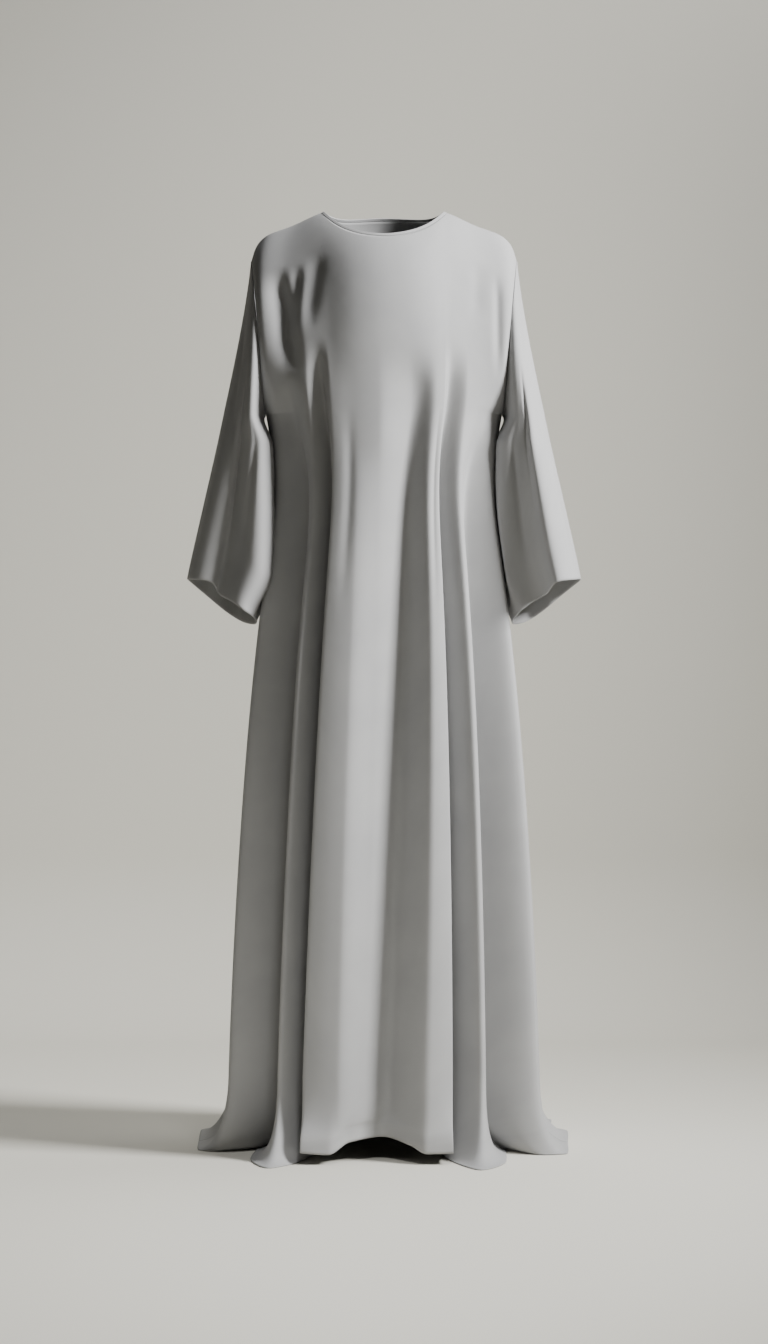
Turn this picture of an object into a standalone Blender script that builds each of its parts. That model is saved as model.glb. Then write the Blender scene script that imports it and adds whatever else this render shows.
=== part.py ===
"""A plain grey slip-on abaya, filled out and hanging, with wide sleeves and a hem that pools on the floor.

Metres, +Z up, front towards -Y, the wearer's left towards +X. Heights in the tables are above
the floor; the frame's origin is level with the neck points, where shoulders hold the garment.
The body is a ring at every height, whose fold lines run from the chest to the hem, and a yoke
that closes it over the shoulders. Front and back are cut from that one surface.
"""
import math
from typing import NamedTuple

import bmesh
import bpy
import numpy as np

# Driving dimensions
NECK_POINT_HEIGHT = 1.434
CLOTH = 0.002
BINDING_CLOTH = 0.003
BINDING_WIDTH = 0.005
SEAM_GAP = 0.0010
UNDERARM_GAP = 0.0016
UNDERARM_HEIGHT = 1.12
SHOULDER_TIP = (0.2015, 1.357)
NECK_HALF_WIDTH = 0.0960
NECK_REACH = {"front": 0.0895, "back": 0.0815}
SHOULDER_SLOPE = 0.45
SEAM_COLUMN = 1.2
CUFF_COLUMNS = 26
SLEEVE_CLEARANCE = 0.006
SLEEVE_BOW = 0.022
CLOTH_COLOUR = (0.36, 0.36, 0.365, 1.0)

BACK_SPREAD = 0.03

# The armhole's line: its reach to the front and back, and how far out its middle lies
ARMHOLE_REACH = {"front": 0.066, "back": 0.074}
ARMHOLE_MIDDLE = 0.1855

# The yoke's curves: how upright they leave the underarm, and how full they come over the top
YOKE_RISE = 0.10
SHOULDER_FULLNESS = 0.042
NECK_FULLNESS = 0.110
NECK_DROP = {"front": 0.030, "back": -0.020}
ARMHOLE_BLEND = 62.0
SEAM_BLEND = 12.0

# The shares of a crease's length over which it fades in and out
CREASE_FADE_IN = 0.35
CREASE_FADE_OUT = 0.5

# How a fold grows on its way down, and how softly it fades in
FOLD_GROWTH = 0.45
FOLD_FADE = 0.07

# Where the skirt's last stretch starts, how far it hangs before it turns onto the floor, the
# share of its way out that it then lies flat, and how upright it ends where it hangs clear
SWEEP_START = 0.13
SWEEP_DROP = 0.105
SWEEP_FLAT = 0.55
SWEEP_RISE = 0.004
SWEEP_UPRIGHT = 0.045
CLEAR_OF_FLOOR = 0.012

# How a sleeve leaves the armhole, over the top, under the arm and forwards, and meets the cuff
SLEEVE_HEAD = 0.13
SLEEVE_UNDER = 0.012
SLEEVE_FULLNESS = 0.037
SLEEVE_HANG = 0.12
SLEEVE_SLANT = (-0.19, 0.0, -0.98)


class Section(NamedTuple):
    """The body's base ring at one height."""

    height: float
    half_width: float
    front_reach: float
    back_reach: float


SECTIONS = (
    Section(0.000, 0.232, 0.176, 0.268),
    Section(0.220, 0.225, 0.166, 0.240),
    Section(0.500, 0.211, 0.153, 0.200),
    Section(0.780, 0.189, 0.1405, 0.160),
    Section(0.900, 0.1755, 0.135, 0.142),
    Section(1.020, 0.1665, 0.131, 0.126),
    Section(1.120, 0.179, 0.129, 0.118),
)


class Fold(NamedTuple):
    """A ridge or trough line of the skirt. Turns are degrees round from the centre front.

    depth is how far the line lies inside the ring at the hem, and start is where it fades in
    above the floor.
    """

    name: str
    chest_turn: float
    hem_turn: float
    start: float
    depth: float


FOLDS = (
    Fold("right_side_seam", -90.0, -90.0, 1.08, 0.012),
    Fold("right_side_ridge", -70.0, -69.0, 1.16, -0.022),
    Fold("right_valley", -54.0, -54.0, 1.20, 0.078),
    Fold("right_front_ridge", -39.0, -43.0, 1.23, -0.004),
    Fold("right_groove", -32.0, -37.0, 1.24, 0.072),
    Fold("panel_right_edge", -26.0, -31.5, 1.23, -0.006),
    Fold("panel_right_ridge", -14.0, -18.0, 1.10, -0.004),
    Fold("panel_rise", -2.0, -9.0, 1.10, 0.028),
    Fold("panel_valley", 14.5, 0.0, 1.24, 0.060),
    Fold("panel_left_ridge", 25.5, 16.0, 1.23, -0.004),
    Fold("panel_left_edge", 29.5, 25.5, 1.23, 0.000),
    Fold("left_groove", 34.0, 32.0, 1.24, 0.072),
    Fold("left_front_ridge", 43.0, 39.5, 1.23, -0.002),
    Fold("left_valley", 57.0, 54.0, 1.14, 0.074),
    Fold("left_side_ridge", 71.0, 69.0, 1.16, -0.022),
    Fold("left_side_seam", 90.0, 90.0, 1.08, 0.010),
    Fold("back_left_ridge", 108.0, 108.0, 1.10, -0.010),
    Fold("back_left_groove", 122.0, 121.0, 1.20, 0.060),
    Fold("back_left_panel", 136.0, 134.0, 1.15, -0.004),
    Fold("back_left_valley", 152.0, 149.0, 1.15, 0.064),
    Fold("back_centre_left", 166.0, 165.0, 1.20, -0.002),
    Fold("back_centre_valley", 178.0, 179.0, 1.05, 0.044),
    Fold("back_centre_right", 191.0, 193.0, 1.20, -0.002),
    Fold("back_right_valley", 207.0, 209.0, 1.12, 0.066),
    Fold("back_right_panel", 223.0, 226.0, 1.18, -0.004),
    Fold("back_right_groove", 238.0, 240.0, 1.20, 0.060),
    Fold("back_right_ridge", 252.0, 252.0, 1.10, -0.010),
)
FRONT_FOLDS = 15


class HemPoint(NamedTuple):
    """A point of the hem, for the column at this turn, where the folds spread over the floor."""

    name: str
    turn: float
    x: float
    y: float
    height: float


ON_FLOOR = CLOTH / 2.0
HEM = (
    HemPoint("right_side", -90.0, -0.288, 0.085, ON_FLOOR),
    HemPoint("right_side_corner", -74.0, -0.284, 0.000, ON_FLOOR),
    HemPoint("right_side_front", -65.0, -0.258, -0.014, ON_FLOOR),
    HemPoint("right_valley", -54.0, -0.192, 0.020, ON_FLOOR),
    HemPoint("right_toe_outside", -48.5, -0.200, -0.090, ON_FLOOR),
    HemPoint("right_toe_tip", -43.5, -0.170, -0.181, ON_FLOOR),
    HemPoint("right_toe_inside", -40.0, -0.134, -0.140, ON_FLOOR),
    HemPoint("right_groove", -37.0, -0.104, -0.055, 0.003),
    HemPoint("panel_right_edge", -31.5, -0.124, -0.150, 0.018),
    HemPoint("panel_right_low", -20.9, -0.083, -0.152, 0.0155),
    HemPoint("panel_right_rise", -12.6, -0.051, -0.128, 0.031),
    HemPoint("panel_arch", 0.0, -0.002, -0.095, 0.0345),
    HemPoint("panel_left_rise", 9.9, 0.040, -0.130, 0.026),
    HemPoint("panel_left_low", 15.5, 0.063, -0.150, 0.0165),
    HemPoint("panel_left_edge", 25.5, 0.102, -0.150, 0.0175),
    HemPoint("left_groove", 32.0, 0.086, -0.060, 0.003),
    HemPoint("left_toe_inside", 36.0, 0.110, -0.142, ON_FLOOR),
    HemPoint("left_toe_tip", 40.5, 0.142, -0.199, ON_FLOOR),
    HemPoint("left_toe_outside", 46.5, 0.182, -0.120, ON_FLOOR),
    HemPoint("left_valley", 54.0, 0.188, 0.010, ON_FLOOR),
    HemPoint("left_side_front", 63.0, 0.240, -0.052, ON_FLOOR),
    HemPoint("left_side_corner", 72.0, 0.277, -0.040, ON_FLOOR),
    HemPoint("left_side", 90.0, 0.285, 0.075, ON_FLOOR),
    HemPoint("back_left_corner", 108.0, 0.291, 0.190, ON_FLOOR),
    HemPoint("back_left_groove", 121.0, 0.268, 0.246, ON_FLOOR),
    HemPoint("back_left_toe", 130.0, 0.272, 0.318, ON_FLOOR),
    HemPoint("back_left_tip", 138.0, 0.222, 0.352, ON_FLOOR),
    HemPoint("back_left_valley", 149.0, 0.148, 0.316, ON_FLOOR),
    HemPoint("back_middle_left_toe", 159.0, 0.116, 0.366, ON_FLOOR),
    HemPoint("back_middle_left_tip", 168.0, 0.064, 0.388, ON_FLOOR),
    HemPoint("back_middle", 179.0, 0.004, 0.350, ON_FLOOR),
    HemPoint("back_middle_right_tip", 191.0, -0.066, 0.382, ON_FLOOR),
    HemPoint("back_middle_right_toe", 201.0, -0.114, 0.358, ON_FLOOR),
    HemPoint("back_right_valley", 209.0, -0.142, 0.312, ON_FLOOR),
    HemPoint("back_right_tip", 221.0, -0.212, 0.350, ON_FLOOR),
    HemPoint("back_right_toe", 230.0, -0.270, 0.312, ON_FLOOR),
    HemPoint("back_right_groove", 240.0, -0.268, 0.250, ON_FLOOR),
    HemPoint("back_right_corner", 254.0, -0.291, 0.200, ON_FLOOR),
)


class Shoulder(NamedTuple):
    """A point of the line over the shoulders, from the centre outwards.

    Inside the neck the line is only a guide, which the neck's edge cuts away.
    """

    across: float
    x: float
    front_height: float
    back_height: float


SHOULDERS = (
    Shoulder(0.00, 0.000, 1.440, 1.460),
    Shoulder(0.17, 0.048, 1.438, 1.452),
    Shoulder(0.36, NECK_HALF_WIDTH, 1.430, 1.430),
    Shoulder(0.52, 0.137, 1.4115, 1.4115),
    Shoulder(0.72, 0.176, 1.3965, 1.3965),
    Shoulder(0.88, 0.1945, 1.378, 1.378),
    Shoulder(1.00, SHOULDER_TIP[0], SHOULDER_TIP[1], SHOULDER_TIP[1]),
)


class Crease(NamedTuple):
    """A soft trough pressed into the yoke, between two points seen from the front.

    Its slope away from the centre and its slope towards it have their own widths.
    """

    side: str
    top_x: float
    top_height: float
    low_x: float
    low_height: float
    outer_width: float
    inner_width: float
    depth: float


CREASES = (
    Crease("front", -0.160, 1.342, -0.136, 1.200, 0.018, 0.011, 0.013),
    Crease("front", -0.127, 1.345, -0.136, 1.256, 0.010, 0.007, 0.005),
    Crease("front", -0.094, 1.365, -0.111, 1.262, 0.013, 0.010, 0.004),
    Crease("front", 0.170, 1.338, 0.171, 1.195, 0.008, 0.006, 0.004),
    Crease("front", 0.141, 1.352, 0.137, 1.268, 0.012, 0.009, 0.002),
    Crease("back", -0.158, 1.350, -0.163, 1.190, 0.014, 0.011, 0.009),
    Crease("back", 0.155, 1.352, 0.163, 1.175, 0.015, 0.011, 0.010),
    Crease("back", -0.096, 1.345, -0.112, 1.215, 0.016, 0.012, 0.005),
    Crease("back", 0.104, 1.360, 0.112, 1.240, 0.015, 0.012, 0.006),
)


class CuffPoint(NamedTuple):
    """A fold line of a sleeve, from its place round the armhole to the cuff."""

    name: str
    round_armhole: float
    out: float
    y: float
    height: float


CUFFS = {
    "right": (
        CuffPoint("outer", 0.000, 0.2998, 0.002, 0.8715),
        CuffPoint("front_outer", 0.080, 0.287, -0.050, 0.8695),
        CuffPoint("front_lip", 0.160, 0.259, -0.056, 0.864),
        CuffPoint("front_trough", 0.220, 0.2515, -0.048, 0.8505),
        CuffPoint("front_inner", 0.310, 0.231, -0.080, 0.837),
        CuffPoint("inner_ridge", 0.390, 0.209, -0.090, 0.8215),
        CuffPoint("inner_front", 0.460, 0.1965, -0.052, 0.812),
        CuffPoint("inner", 0.530, 0.196, 0.018, 0.8045),
        CuffPoint("inner_back", 0.610, 0.211, 0.076, 0.805),
        CuffPoint("back_ridge", 0.710, 0.233, 0.102, 0.815),
        CuffPoint("back_trough", 0.810, 0.257, 0.080, 0.833),
        CuffPoint("back_outer", 0.910, 0.285, 0.066, 0.857),
    ),
    "left": (
        CuffPoint("outer", 0.000, 0.2998, -0.004, 0.8705),
        CuffPoint("front_outer", 0.080, 0.286, -0.070, 0.869),
        CuffPoint("front_lip", 0.170, 0.2565, -0.094, 0.863),
        CuffPoint("front_trough", 0.240, 0.2475, -0.062, 0.850),
        CuffPoint("front_inner", 0.330, 0.226, -0.046, 0.836),
        CuffPoint("inner_front", 0.420, 0.202, -0.042, 0.817),
        CuffPoint("inner", 0.510, 0.1965, 0.016, 0.805),
        CuffPoint("inner_back", 0.600, 0.211, 0.076, 0.805),
        CuffPoint("back_ridge", 0.700, 0.233, 0.100, 0.815),
        CuffPoint("back_trough", 0.800, 0.257, 0.082, 0.833),
        CuffPoint("back_outer", 0.900, 0.284, 0.068, 0.856),
    ),
}


def eased(t):
    """A smooth step from 0 to 1 as t goes from 0 to 1."""
    t = np.clip(t, 0.0, 1.0)
    return t * t * (3.0 - 2.0 * t)


def level_line(knots, values, at, period):
    """A closed curve through the values at the knots, level at every high and low one."""
    at = (np.asarray(at, float) - knots[0]) % period + knots[0]
    knots = np.append(knots, knots[0] + period)
    values = np.append(values, values[0])
    step = np.diff(knots)
    slope = np.diff(values) / step
    before = np.roll(slope, 1)
    same = before * slope > 0.0
    total = np.where(same, before + slope, 1.0)
    through = np.where(same, 2.0 * before * slope / total, 0.0)
    through = np.append(through, through[0])
    i = np.clip(np.searchsorted(knots, at, side="right") - 1, 0, len(step) - 1)
    t = (at - knots[i]) / step[i]
    rise = eased(t)
    bend = step[i] * t * (1.0 - t) * ((1.0 - t) * through[i] - t * through[i + 1])
    return values[i] * (1.0 - rise) + values[i + 1] * rise + bend


def smooth_line(knots, values, at, period=None):
    """A curve with even curvature through the values at the knots, read at the places at.

    With a period the curve closes on itself, and otherwise it ends straight.
    """
    knots, values, at = (np.asarray(a, float) for a in (knots, values, at))
    if period:
        at = (at - knots[0]) % period + knots[0]
        knots = np.append(knots, knots[0] + period)
        values = np.concatenate([values, values[:1]])
    count = len(knots)
    step = np.diff(knots)
    slope = np.diff(values, axis=0) / (step if values.ndim == 1 else step[:, None])
    matrix = np.zeros((count, count))
    right = np.zeros_like(values)
    for i in range(1, count - 1):
        matrix[i, i - 1 : i + 2] = step[i - 1], 2.0 * (step[i - 1] + step[i]), step[i]
        right[i] = 6.0 * (slope[i] - slope[i - 1])
    if period:
        matrix[0, 0], matrix[0, -1] = 1.0, -1.0
        matrix[-1, [0, 1, -2, -1]] = 2.0 * step[0], step[0], step[-1], 2.0 * step[-1]
        right[-1] = 6.0 * (slope[0] - slope[-1])
    else:
        matrix[0, 0] = matrix[-1, -1] = 1.0
    bend = np.linalg.solve(matrix, right)
    i = np.clip(np.searchsorted(knots, at, side="right") - 1, 0, count - 2)
    h = step[i]
    a = (knots[i + 1] - at) / h
    b = 1.0 - a
    if values.ndim > 1:
        a, b, h = a[..., None], b[..., None], h[..., None]
    curve = ((a**3 - a) * bend[i] + (b**3 - b) * bend[i + 1]) * h * h / 6.0
    return a * values[i] + b * values[i + 1] + curve


def fold_column(name):
    """One column of the fold table as an array."""
    return np.array([getattr(fold, name) for fold in FOLDS])


FOLD_PLACES = fold_column("hem_turn")


def along_folds(values, places):
    """Values given at the fold lines, read at places round the body in hem degrees."""
    return level_line(FOLD_PLACES, values, places, 360.0)


def ring(places, height):
    """The body's ring at one height as points, with the outward direction at each point."""
    table = np.array(SECTIONS)
    level = np.clip(height, SECTIONS[0].height, SECTIONS[-1].height)
    half_width, front, back = smooth_line(table[:, 0], table[:, 1:], level)
    down = 1.0 - level / UNDERARM_HEIGHT
    shift = (1.0 - down) * (fold_column("chest_turn") - FOLD_PLACES)
    turn = np.radians(places + along_folds(shift, places))
    reach = np.where(np.cos(turn) > 0.0, front, back)
    middle = BACK_SPREAD * down * down
    base = np.stack([half_width * np.sin(turn), middle - reach * np.cos(turn)], -1)
    out = np.stack([np.sin(turn) / half_width, -np.cos(turn) / reach], -1)
    out /= np.linalg.norm(out, axis=-1, keepdims=True)
    points = base - out * fold_depth(places, height)[..., None]
    flat = np.full(points.shape[:-1] + (1,), float(height))
    return np.concatenate([points, flat], -1), np.concatenate([out, 0.0 * flat], -1)


def fold_depth(places, height):
    """How far the folds take the cloth inwards at one height."""
    start = fold_column("start")
    below = np.clip((start - height) / start, 0.0, 1.0)
    grown = (1.0 + FOLD_GROWTH) * below / (below + FOLD_GROWTH) * eased(below / FOLD_FADE)
    return along_folds(fold_column("depth") * grown, places)


def hem_line(places):
    """The hem's points at places round the body."""
    turns = np.array([point.turn for point in HEM])
    columns = np.array([point[2:] for point in HEM]).T
    return np.stack([level_line(turns, column, places, 360.0) for column in columns], -1)


def hem_path(places, share):
    """Points of the skirt's last stretch, at a share of its length from SWEEP_START down.

    The cloth hangs, turns outwards and comes to rest at the hem: flat where the hem lies on the
    floor, and straight down where it hangs clear.
    """
    start, end = ring(places, SWEEP_START)[0], hem_line(places)
    away = np.linalg.norm((end - start)[:, :2], axis=1)
    hangs = eased((end[:, 2] - ON_FLOOR) / CLEAR_OF_FLOOR)[:, None]
    drop = np.maximum(SWEEP_DROP - away / 2.0, SWEEP_UPRIGHT)
    down = np.array([0.0, 0.0, -1.0])
    on_floor = end + (start - end) * np.array([SWEEP_FLAT, SWEEP_FLAT, 0.0]) - down * SWEEP_RISE
    straight = end - down * SWEEP_UPRIGHT
    arrive = on_floor * (1.0 - hangs) + straight * hangs
    return bezier(start, start + down * drop[:, None], arrive, end, share)


def armhole(share):
    """The right armhole's line: 0 at the shoulder tip, forwards and down to 0.5 under the arm."""
    turn = 2.0 * math.pi * np.asarray(share, float)
    upper = (1.0 + np.cos(turn)) / 2.0
    top, low = SHOULDER_TIP[1], UNDERARM_HEIGHT
    reach = np.where(np.sin(turn) > 0.0, ARMHOLE_REACH["front"], ARMHOLE_REACH["back"])
    under = ring(np.array([-90.0]), UNDERARM_HEIGHT)[0][0]
    near_under = (1.0 - upper) ** 4
    x = ARMHOLE_MIDDLE + (SHOULDER_TIP[0] - ARMHOLE_MIDDLE) * upper**2
    x = x - (under[0] + ARMHOLE_MIDDLE) * near_under
    y = under[1] * near_under - reach * np.sin(turn) * (1.0 - 0.15 * np.cos(turn))
    return np.stack([-x, y, low + (top - low) * upper], -1)


def shoulder_line(across, side):
    """Points of the line over the shoulders, from -1 at the right tip to 1 at the left."""
    table = np.array(SHOULDERS)
    height = table[:, 2] if side == "front" else table[:, 3]
    knots = np.concatenate([-table[:0:-1, 0], table[:, 0]])
    line = np.stack(
        [
            np.concatenate([-table[:0:-1, 1], table[:, 1]]),
            np.concatenate([height[:0:-1], height]),
        ],
        -1,
    )
    read = smooth_line(knots, line, across)
    return np.stack([read[..., 0], 0.0 * across, read[..., 1]], -1)


def bezier(a, b, c, d, t):
    """A point on the cubic curve from a to d with handles b and c."""
    s = 1.0 - t
    return s**3 * a + 3 * s * s * t * b + 3 * s * t * t * c + t**3 * d


def press_creases(points, side):
    """Presses the yoke's soft troughs into points, towards the wearer."""
    inwards = 1.0 if side == "front" else -1.0
    for crease in CREASES:
        if crease.side != side:
            continue
        top = np.array([crease.top_x, crease.top_height])
        run = np.array([crease.low_x, crease.low_height]) - top
        offset = points[..., [0, 2]] - top
        along = offset @ run / (run @ run)
        outwards = (offset[..., 0] * run[1] - offset[..., 1] * run[0]) / np.linalg.norm(run)
        outwards *= -np.sign(crease.top_x)
        width = np.where(outwards > 0.0, crease.outer_width, crease.inner_width)
        fade = eased(along / CREASE_FADE_IN) * eased((1.0 - along) / CREASE_FADE_OUT + 0.5)
        points[..., 1] += inwards * crease.depth * fade * np.exp(-((outwards / width) ** 2))
    return points


def yoke_column(places, side):
    """The four handles of the curves that run up the yoke from the underarm ring."""
    across = (places - (0.0 if side == "front" else 180.0)) / 90.0
    across = across if side == "front" else -across
    forward = -1.0 if side == "front" else 1.0
    centred = np.cos(across * math.pi / 2.0) ** 2
    low = ring_without_folds(places, UNDERARM_HEIGHT)
    below = ring_without_folds(places, UNDERARM_HEIGHT - YOKE_RISE / 10.0)
    top = shoulder_line(across, side)
    nothing = 0.0 * centred
    fullness = forward * (SHOULDER_FULLNESS + NECK_FULLNESS * centred**2)
    low_handle = low + (low - below) * 10.0
    high_handle = top + np.stack([nothing, fullness, -NECK_DROP[side] * centred**3], -1)
    return low, low_handle, high_handle, top


def neck_cut(places, side):
    """How far up each of the yoke's curves the neck's edge cuts it off."""
    handles = yoke_column(places, side)
    low, high = np.full(places.shape, 0.4), np.ones(places.shape)
    for _ in range(40):
        middle = (low + high) / 2.0
        point = bezier(*handles, middle[:, None])
        inside = (point[:, 0] / NECK_HALF_WIDTH) ** 2 + (point[:, 1] / NECK_REACH[side]) ** 2 < 1.0
        low, high = np.where(inside, low, middle), np.where(inside, middle, high)
    return low


def yoke(places, rise, side):
    """Points of the yoke, at a share rise of the way from the underarm to the top edge."""
    at = (rise * neck_cut(places, side))[:, None]
    points = bezier(*yoke_column(places, side), at)
    ends = np.array([-90.0, 90.0] if side == "front" else [270.0, 90.0])
    columns = bezier(*yoke_column(ends, side), rise)
    edge = armhole(0.5 * (1.0 - rise) if side == "front" else 0.5 * (1.0 + rise))
    for column, end, mirror in zip(columns, ends, (1.0, -1.0)):
        near = eased(1.0 - np.abs(places - end) / ARMHOLE_BLEND)[:, None]
        points = points + near * (edge * np.array([mirror, 1.0, 1.0]) - column)
    out = ring(places, UNDERARM_HEIGHT)[1]
    depth = np.array([fold_depth(places[i : i + 1], h)[0] for i, h in enumerate(points[:, 2])])
    inside_seams = eased(np.abs(places[:, None] - ends).min(axis=1) / SEAM_BLEND)
    points = points - out * (depth * inside_seams)[:, None]
    return press_creases(points, side)


def neck_point_places(side):
    """The two places whose yoke curves end at the neck points."""
    across = next(row.across for row in SHOULDERS if row.x == NECK_HALF_WIDTH)
    middle = 0.0 if side == "front" else 180.0
    return [middle - 90.0 * across, middle + 90.0 * across]


def ring_without_folds(places, height):
    """The base ring at one height, before any fold."""
    points, out = ring(places, height)
    return points + out * fold_depth(places, height)[..., None]


def panel_places(first, last, per_fold, side):
    """Column places between two fold lines: even in every gap, close at seams and neck points."""
    places = list(FOLD_PLACES) + [FOLD_PLACES[0] + 360.0]
    columns = [places[first] + SEAM_COLUMN, places[last] - SEAM_COLUMN, places[last]]
    for i in range(first, last):
        columns += [
            places[i] + (places[i + 1] - places[i]) * k / per_fold for k in range(per_fold)
        ]
    corners = neck_point_places(side)
    apart = [min(abs(column - corner) for corner in corners) for column in columns]
    columns = [column for column, gap in zip(columns, apart) if gap > SEAM_COLUMN]
    return np.array(sorted(columns + corners))


def body_rows(places, side, rises, levels, shares):
    """All rows of a panel from its top edge to the hem."""
    rows = [yoke(places, rise, side) for rise in rises]
    rows += [ring(places, level)[0] for level in levels]
    rows += [hem_path(places, share) for share in shares]
    return np.array(rows)


def cloth_object(name, rows, thickness, material, closed=False):
    """A sheet through rows of points, given its thickness, as one object of the garment."""
    sheet = bmesh.new()
    grid = [[sheet.verts.new(point) for point in row] for row in rows]
    columns = len(rows[0])
    for upper, lower in zip(grid, grid[1:]):
        for i in range(columns if closed else columns - 1):
            j = (i + 1) % columns
            sheet.faces.new((upper[i], lower[i], lower[j], upper[j]))
    mesh = bpy.data.meshes.new(name)
    sheet.to_mesh(mesh)
    sheet.free()
    mesh.shade_smooth()
    mesh.materials.append(material)
    piece = bpy.data.objects.new(name, mesh)
    piece.location.z = -NECK_POINT_HEIGHT
    wall = piece.modifiers.new("cloth thickness", "SOLIDIFY")
    wall.thickness = thickness
    wall.offset = 0.0
    garment_collection().objects.link(piece)
    return piece


def garment_collection():
    """The collection that holds the garment's pieces."""
    found = bpy.data.collections.get("abaya")
    if found is None:
        found = bpy.data.collections.new("abaya")
        bpy.context.scene.collection.children.link(found)
    return found


def cloth_material():
    """Matte grey crepe."""
    material = bpy.data.materials.new("grey crepe")
    material.use_nodes = True
    shader = material.node_tree.nodes["Principled BSDF"]
    shader.inputs["Base Color"].default_value = CLOTH_COLOUR
    shader.inputs["Roughness"].default_value = 0.8
    shader.inputs["Metallic"].default_value = 0.0
    return material


def pull_in_edges(rows, left=True, right=True, top=True):
    """Draws a panel's seam edges in by half the seam gap, along the cloth."""
    rows = rows.copy()
    for here, inner, wanted in ((0, 1, left), (-1, -2, right)):
        if wanted:
            way = rows[:, inner] - rows[:, here]
            rows[:, here] += way / np.linalg.norm(way, axis=-1, keepdims=True) * SEAM_GAP / 2.0
    if top:
        way = rows[1] - rows[0]
        rows[0] += way / np.linalg.norm(way, axis=-1, keepdims=True) * SEAM_GAP / 2.0
    return rows


YOKE_RISES = (1.0, 0.93, 0.84, 0.74, 0.63, 0.52, 0.41, 0.30, 0.19, 0.09)
LEVELS = (1.12, 1.07, 1.02, 0.97, 0.91, 0.84, 0.74, 0.60, 0.45, 0.30, 0.20)
HEM_SHARES = (0.0, 0.22, 0.40, 0.54, 0.66, 0.78, 0.89, 1.0)


def build_body(material):
    """The front and back panels."""
    front = panel_places(0, FRONT_FOLDS, 4, "front")
    back = panel_places(FRONT_FOLDS, len(FOLDS), 4, "back")
    for name, side, places in (("front_panel", "front", front), ("back_panel", "back", back)):
        rows = body_rows(places, side, YOKE_RISES, LEVELS, HEM_SHARES)
        cloth_object(name, pull_in_edges(rows), CLOTH, material)
    build_binding((("front", front), ("back", back)), material)


def neck_edge(side, places):
    """The neck's edge of one panel at some places, with the way the cloth would run on from it."""
    edge = yoke(places, 1.0, side)
    below = yoke(places, 0.98, side)
    inner = -edge[:, :2] / np.array([NECK_HALF_WIDTH, NECK_REACH[side]]) ** 2
    inner /= np.linalg.norm(inner, axis=-1, keepdims=True)
    steep = (edge[:, 2] - below[:, 2]) / np.abs(edge[:, 1] - below[:, 1])
    rise = np.abs(inner[:, 0]) * SHOULDER_SLOPE + np.abs(inner[:, 1]) * steep
    way = np.column_stack([inner, rise])
    return edge, way / np.linalg.norm(way, axis=-1, keepdims=True)


def build_binding(panels, material):
    """The narrow band that finishes the neck."""
    edges, ways = [], []
    for side, places in panels:
        first, last = neck_point_places(side)
        edge, way = neck_edge(side, places[(places >= first) & (places <= last)])
        edges.append(edge[:-1])
        ways.append(way[:-1])
    edge, way = np.concatenate(edges), np.concatenate(ways)
    shares = (0.0, 0.5, 1.0)
    rows = [edge + way * (SEAM_GAP / 2.0 + BINDING_WIDTH * share) for share in shares]
    cloth_object("neck_binding", np.array(rows[::-1]), BINDING_CLOTH, material, closed=True)


def body_side(heights, reaches, side):
    """How far out the body's side lies, with the sleeve's clearance, on a grid of points."""
    near = side * np.arange(30.0, 150.0, 1.0)
    grid = np.empty((len(heights), len(reaches)))
    for row, height in zip(grid, heights):
        points = ring(near, height)[0]
        apart = (points[:, 1] - reaches[:, None]) / SLEEVE_CLEARANCE
        outer = side * points[:, 0] + SLEEVE_CLEARANCE * np.sqrt(np.maximum(1.0 - apart**2, 0.0))
        row[:] = np.where(np.abs(apart) < 1.0, outer, 0.0).max(axis=1)
    return grid


def clear_of_body(rings, side):
    """Moves a sleeve's points outwards until they lie clear of the body's side."""
    heights = np.linspace(0.76, UNDERARM_HEIGHT, 37)
    reaches = np.linspace(-0.13, 0.15, 57)
    grid = body_side(heights, reaches, side)
    row = np.interp(rings[..., 2], heights, np.arange(len(heights), dtype=float))
    column = np.interp(rings[..., 1], reaches, np.arange(len(reaches), dtype=float))
    i = np.minimum(row.astype(int), len(heights) - 2)
    j = np.minimum(column.astype(int), len(reaches) - 2)
    u, v = row - i, column - j
    body = (1 - u) * ((1 - v) * grid[i, j] + v * grid[i, j + 1])
    body += u * ((1 - v) * grid[i + 1, j] + v * grid[i + 1, j + 1])
    below = eased((UNDERARM_HEIGHT - rings[..., 2]) / 0.03)
    out = side * rings[..., 0]
    rings[..., 0] = side * np.maximum(out, body - (1.0 - below) * SLEEVE_CLEARANCE * 0.6)
    return rings


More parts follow.
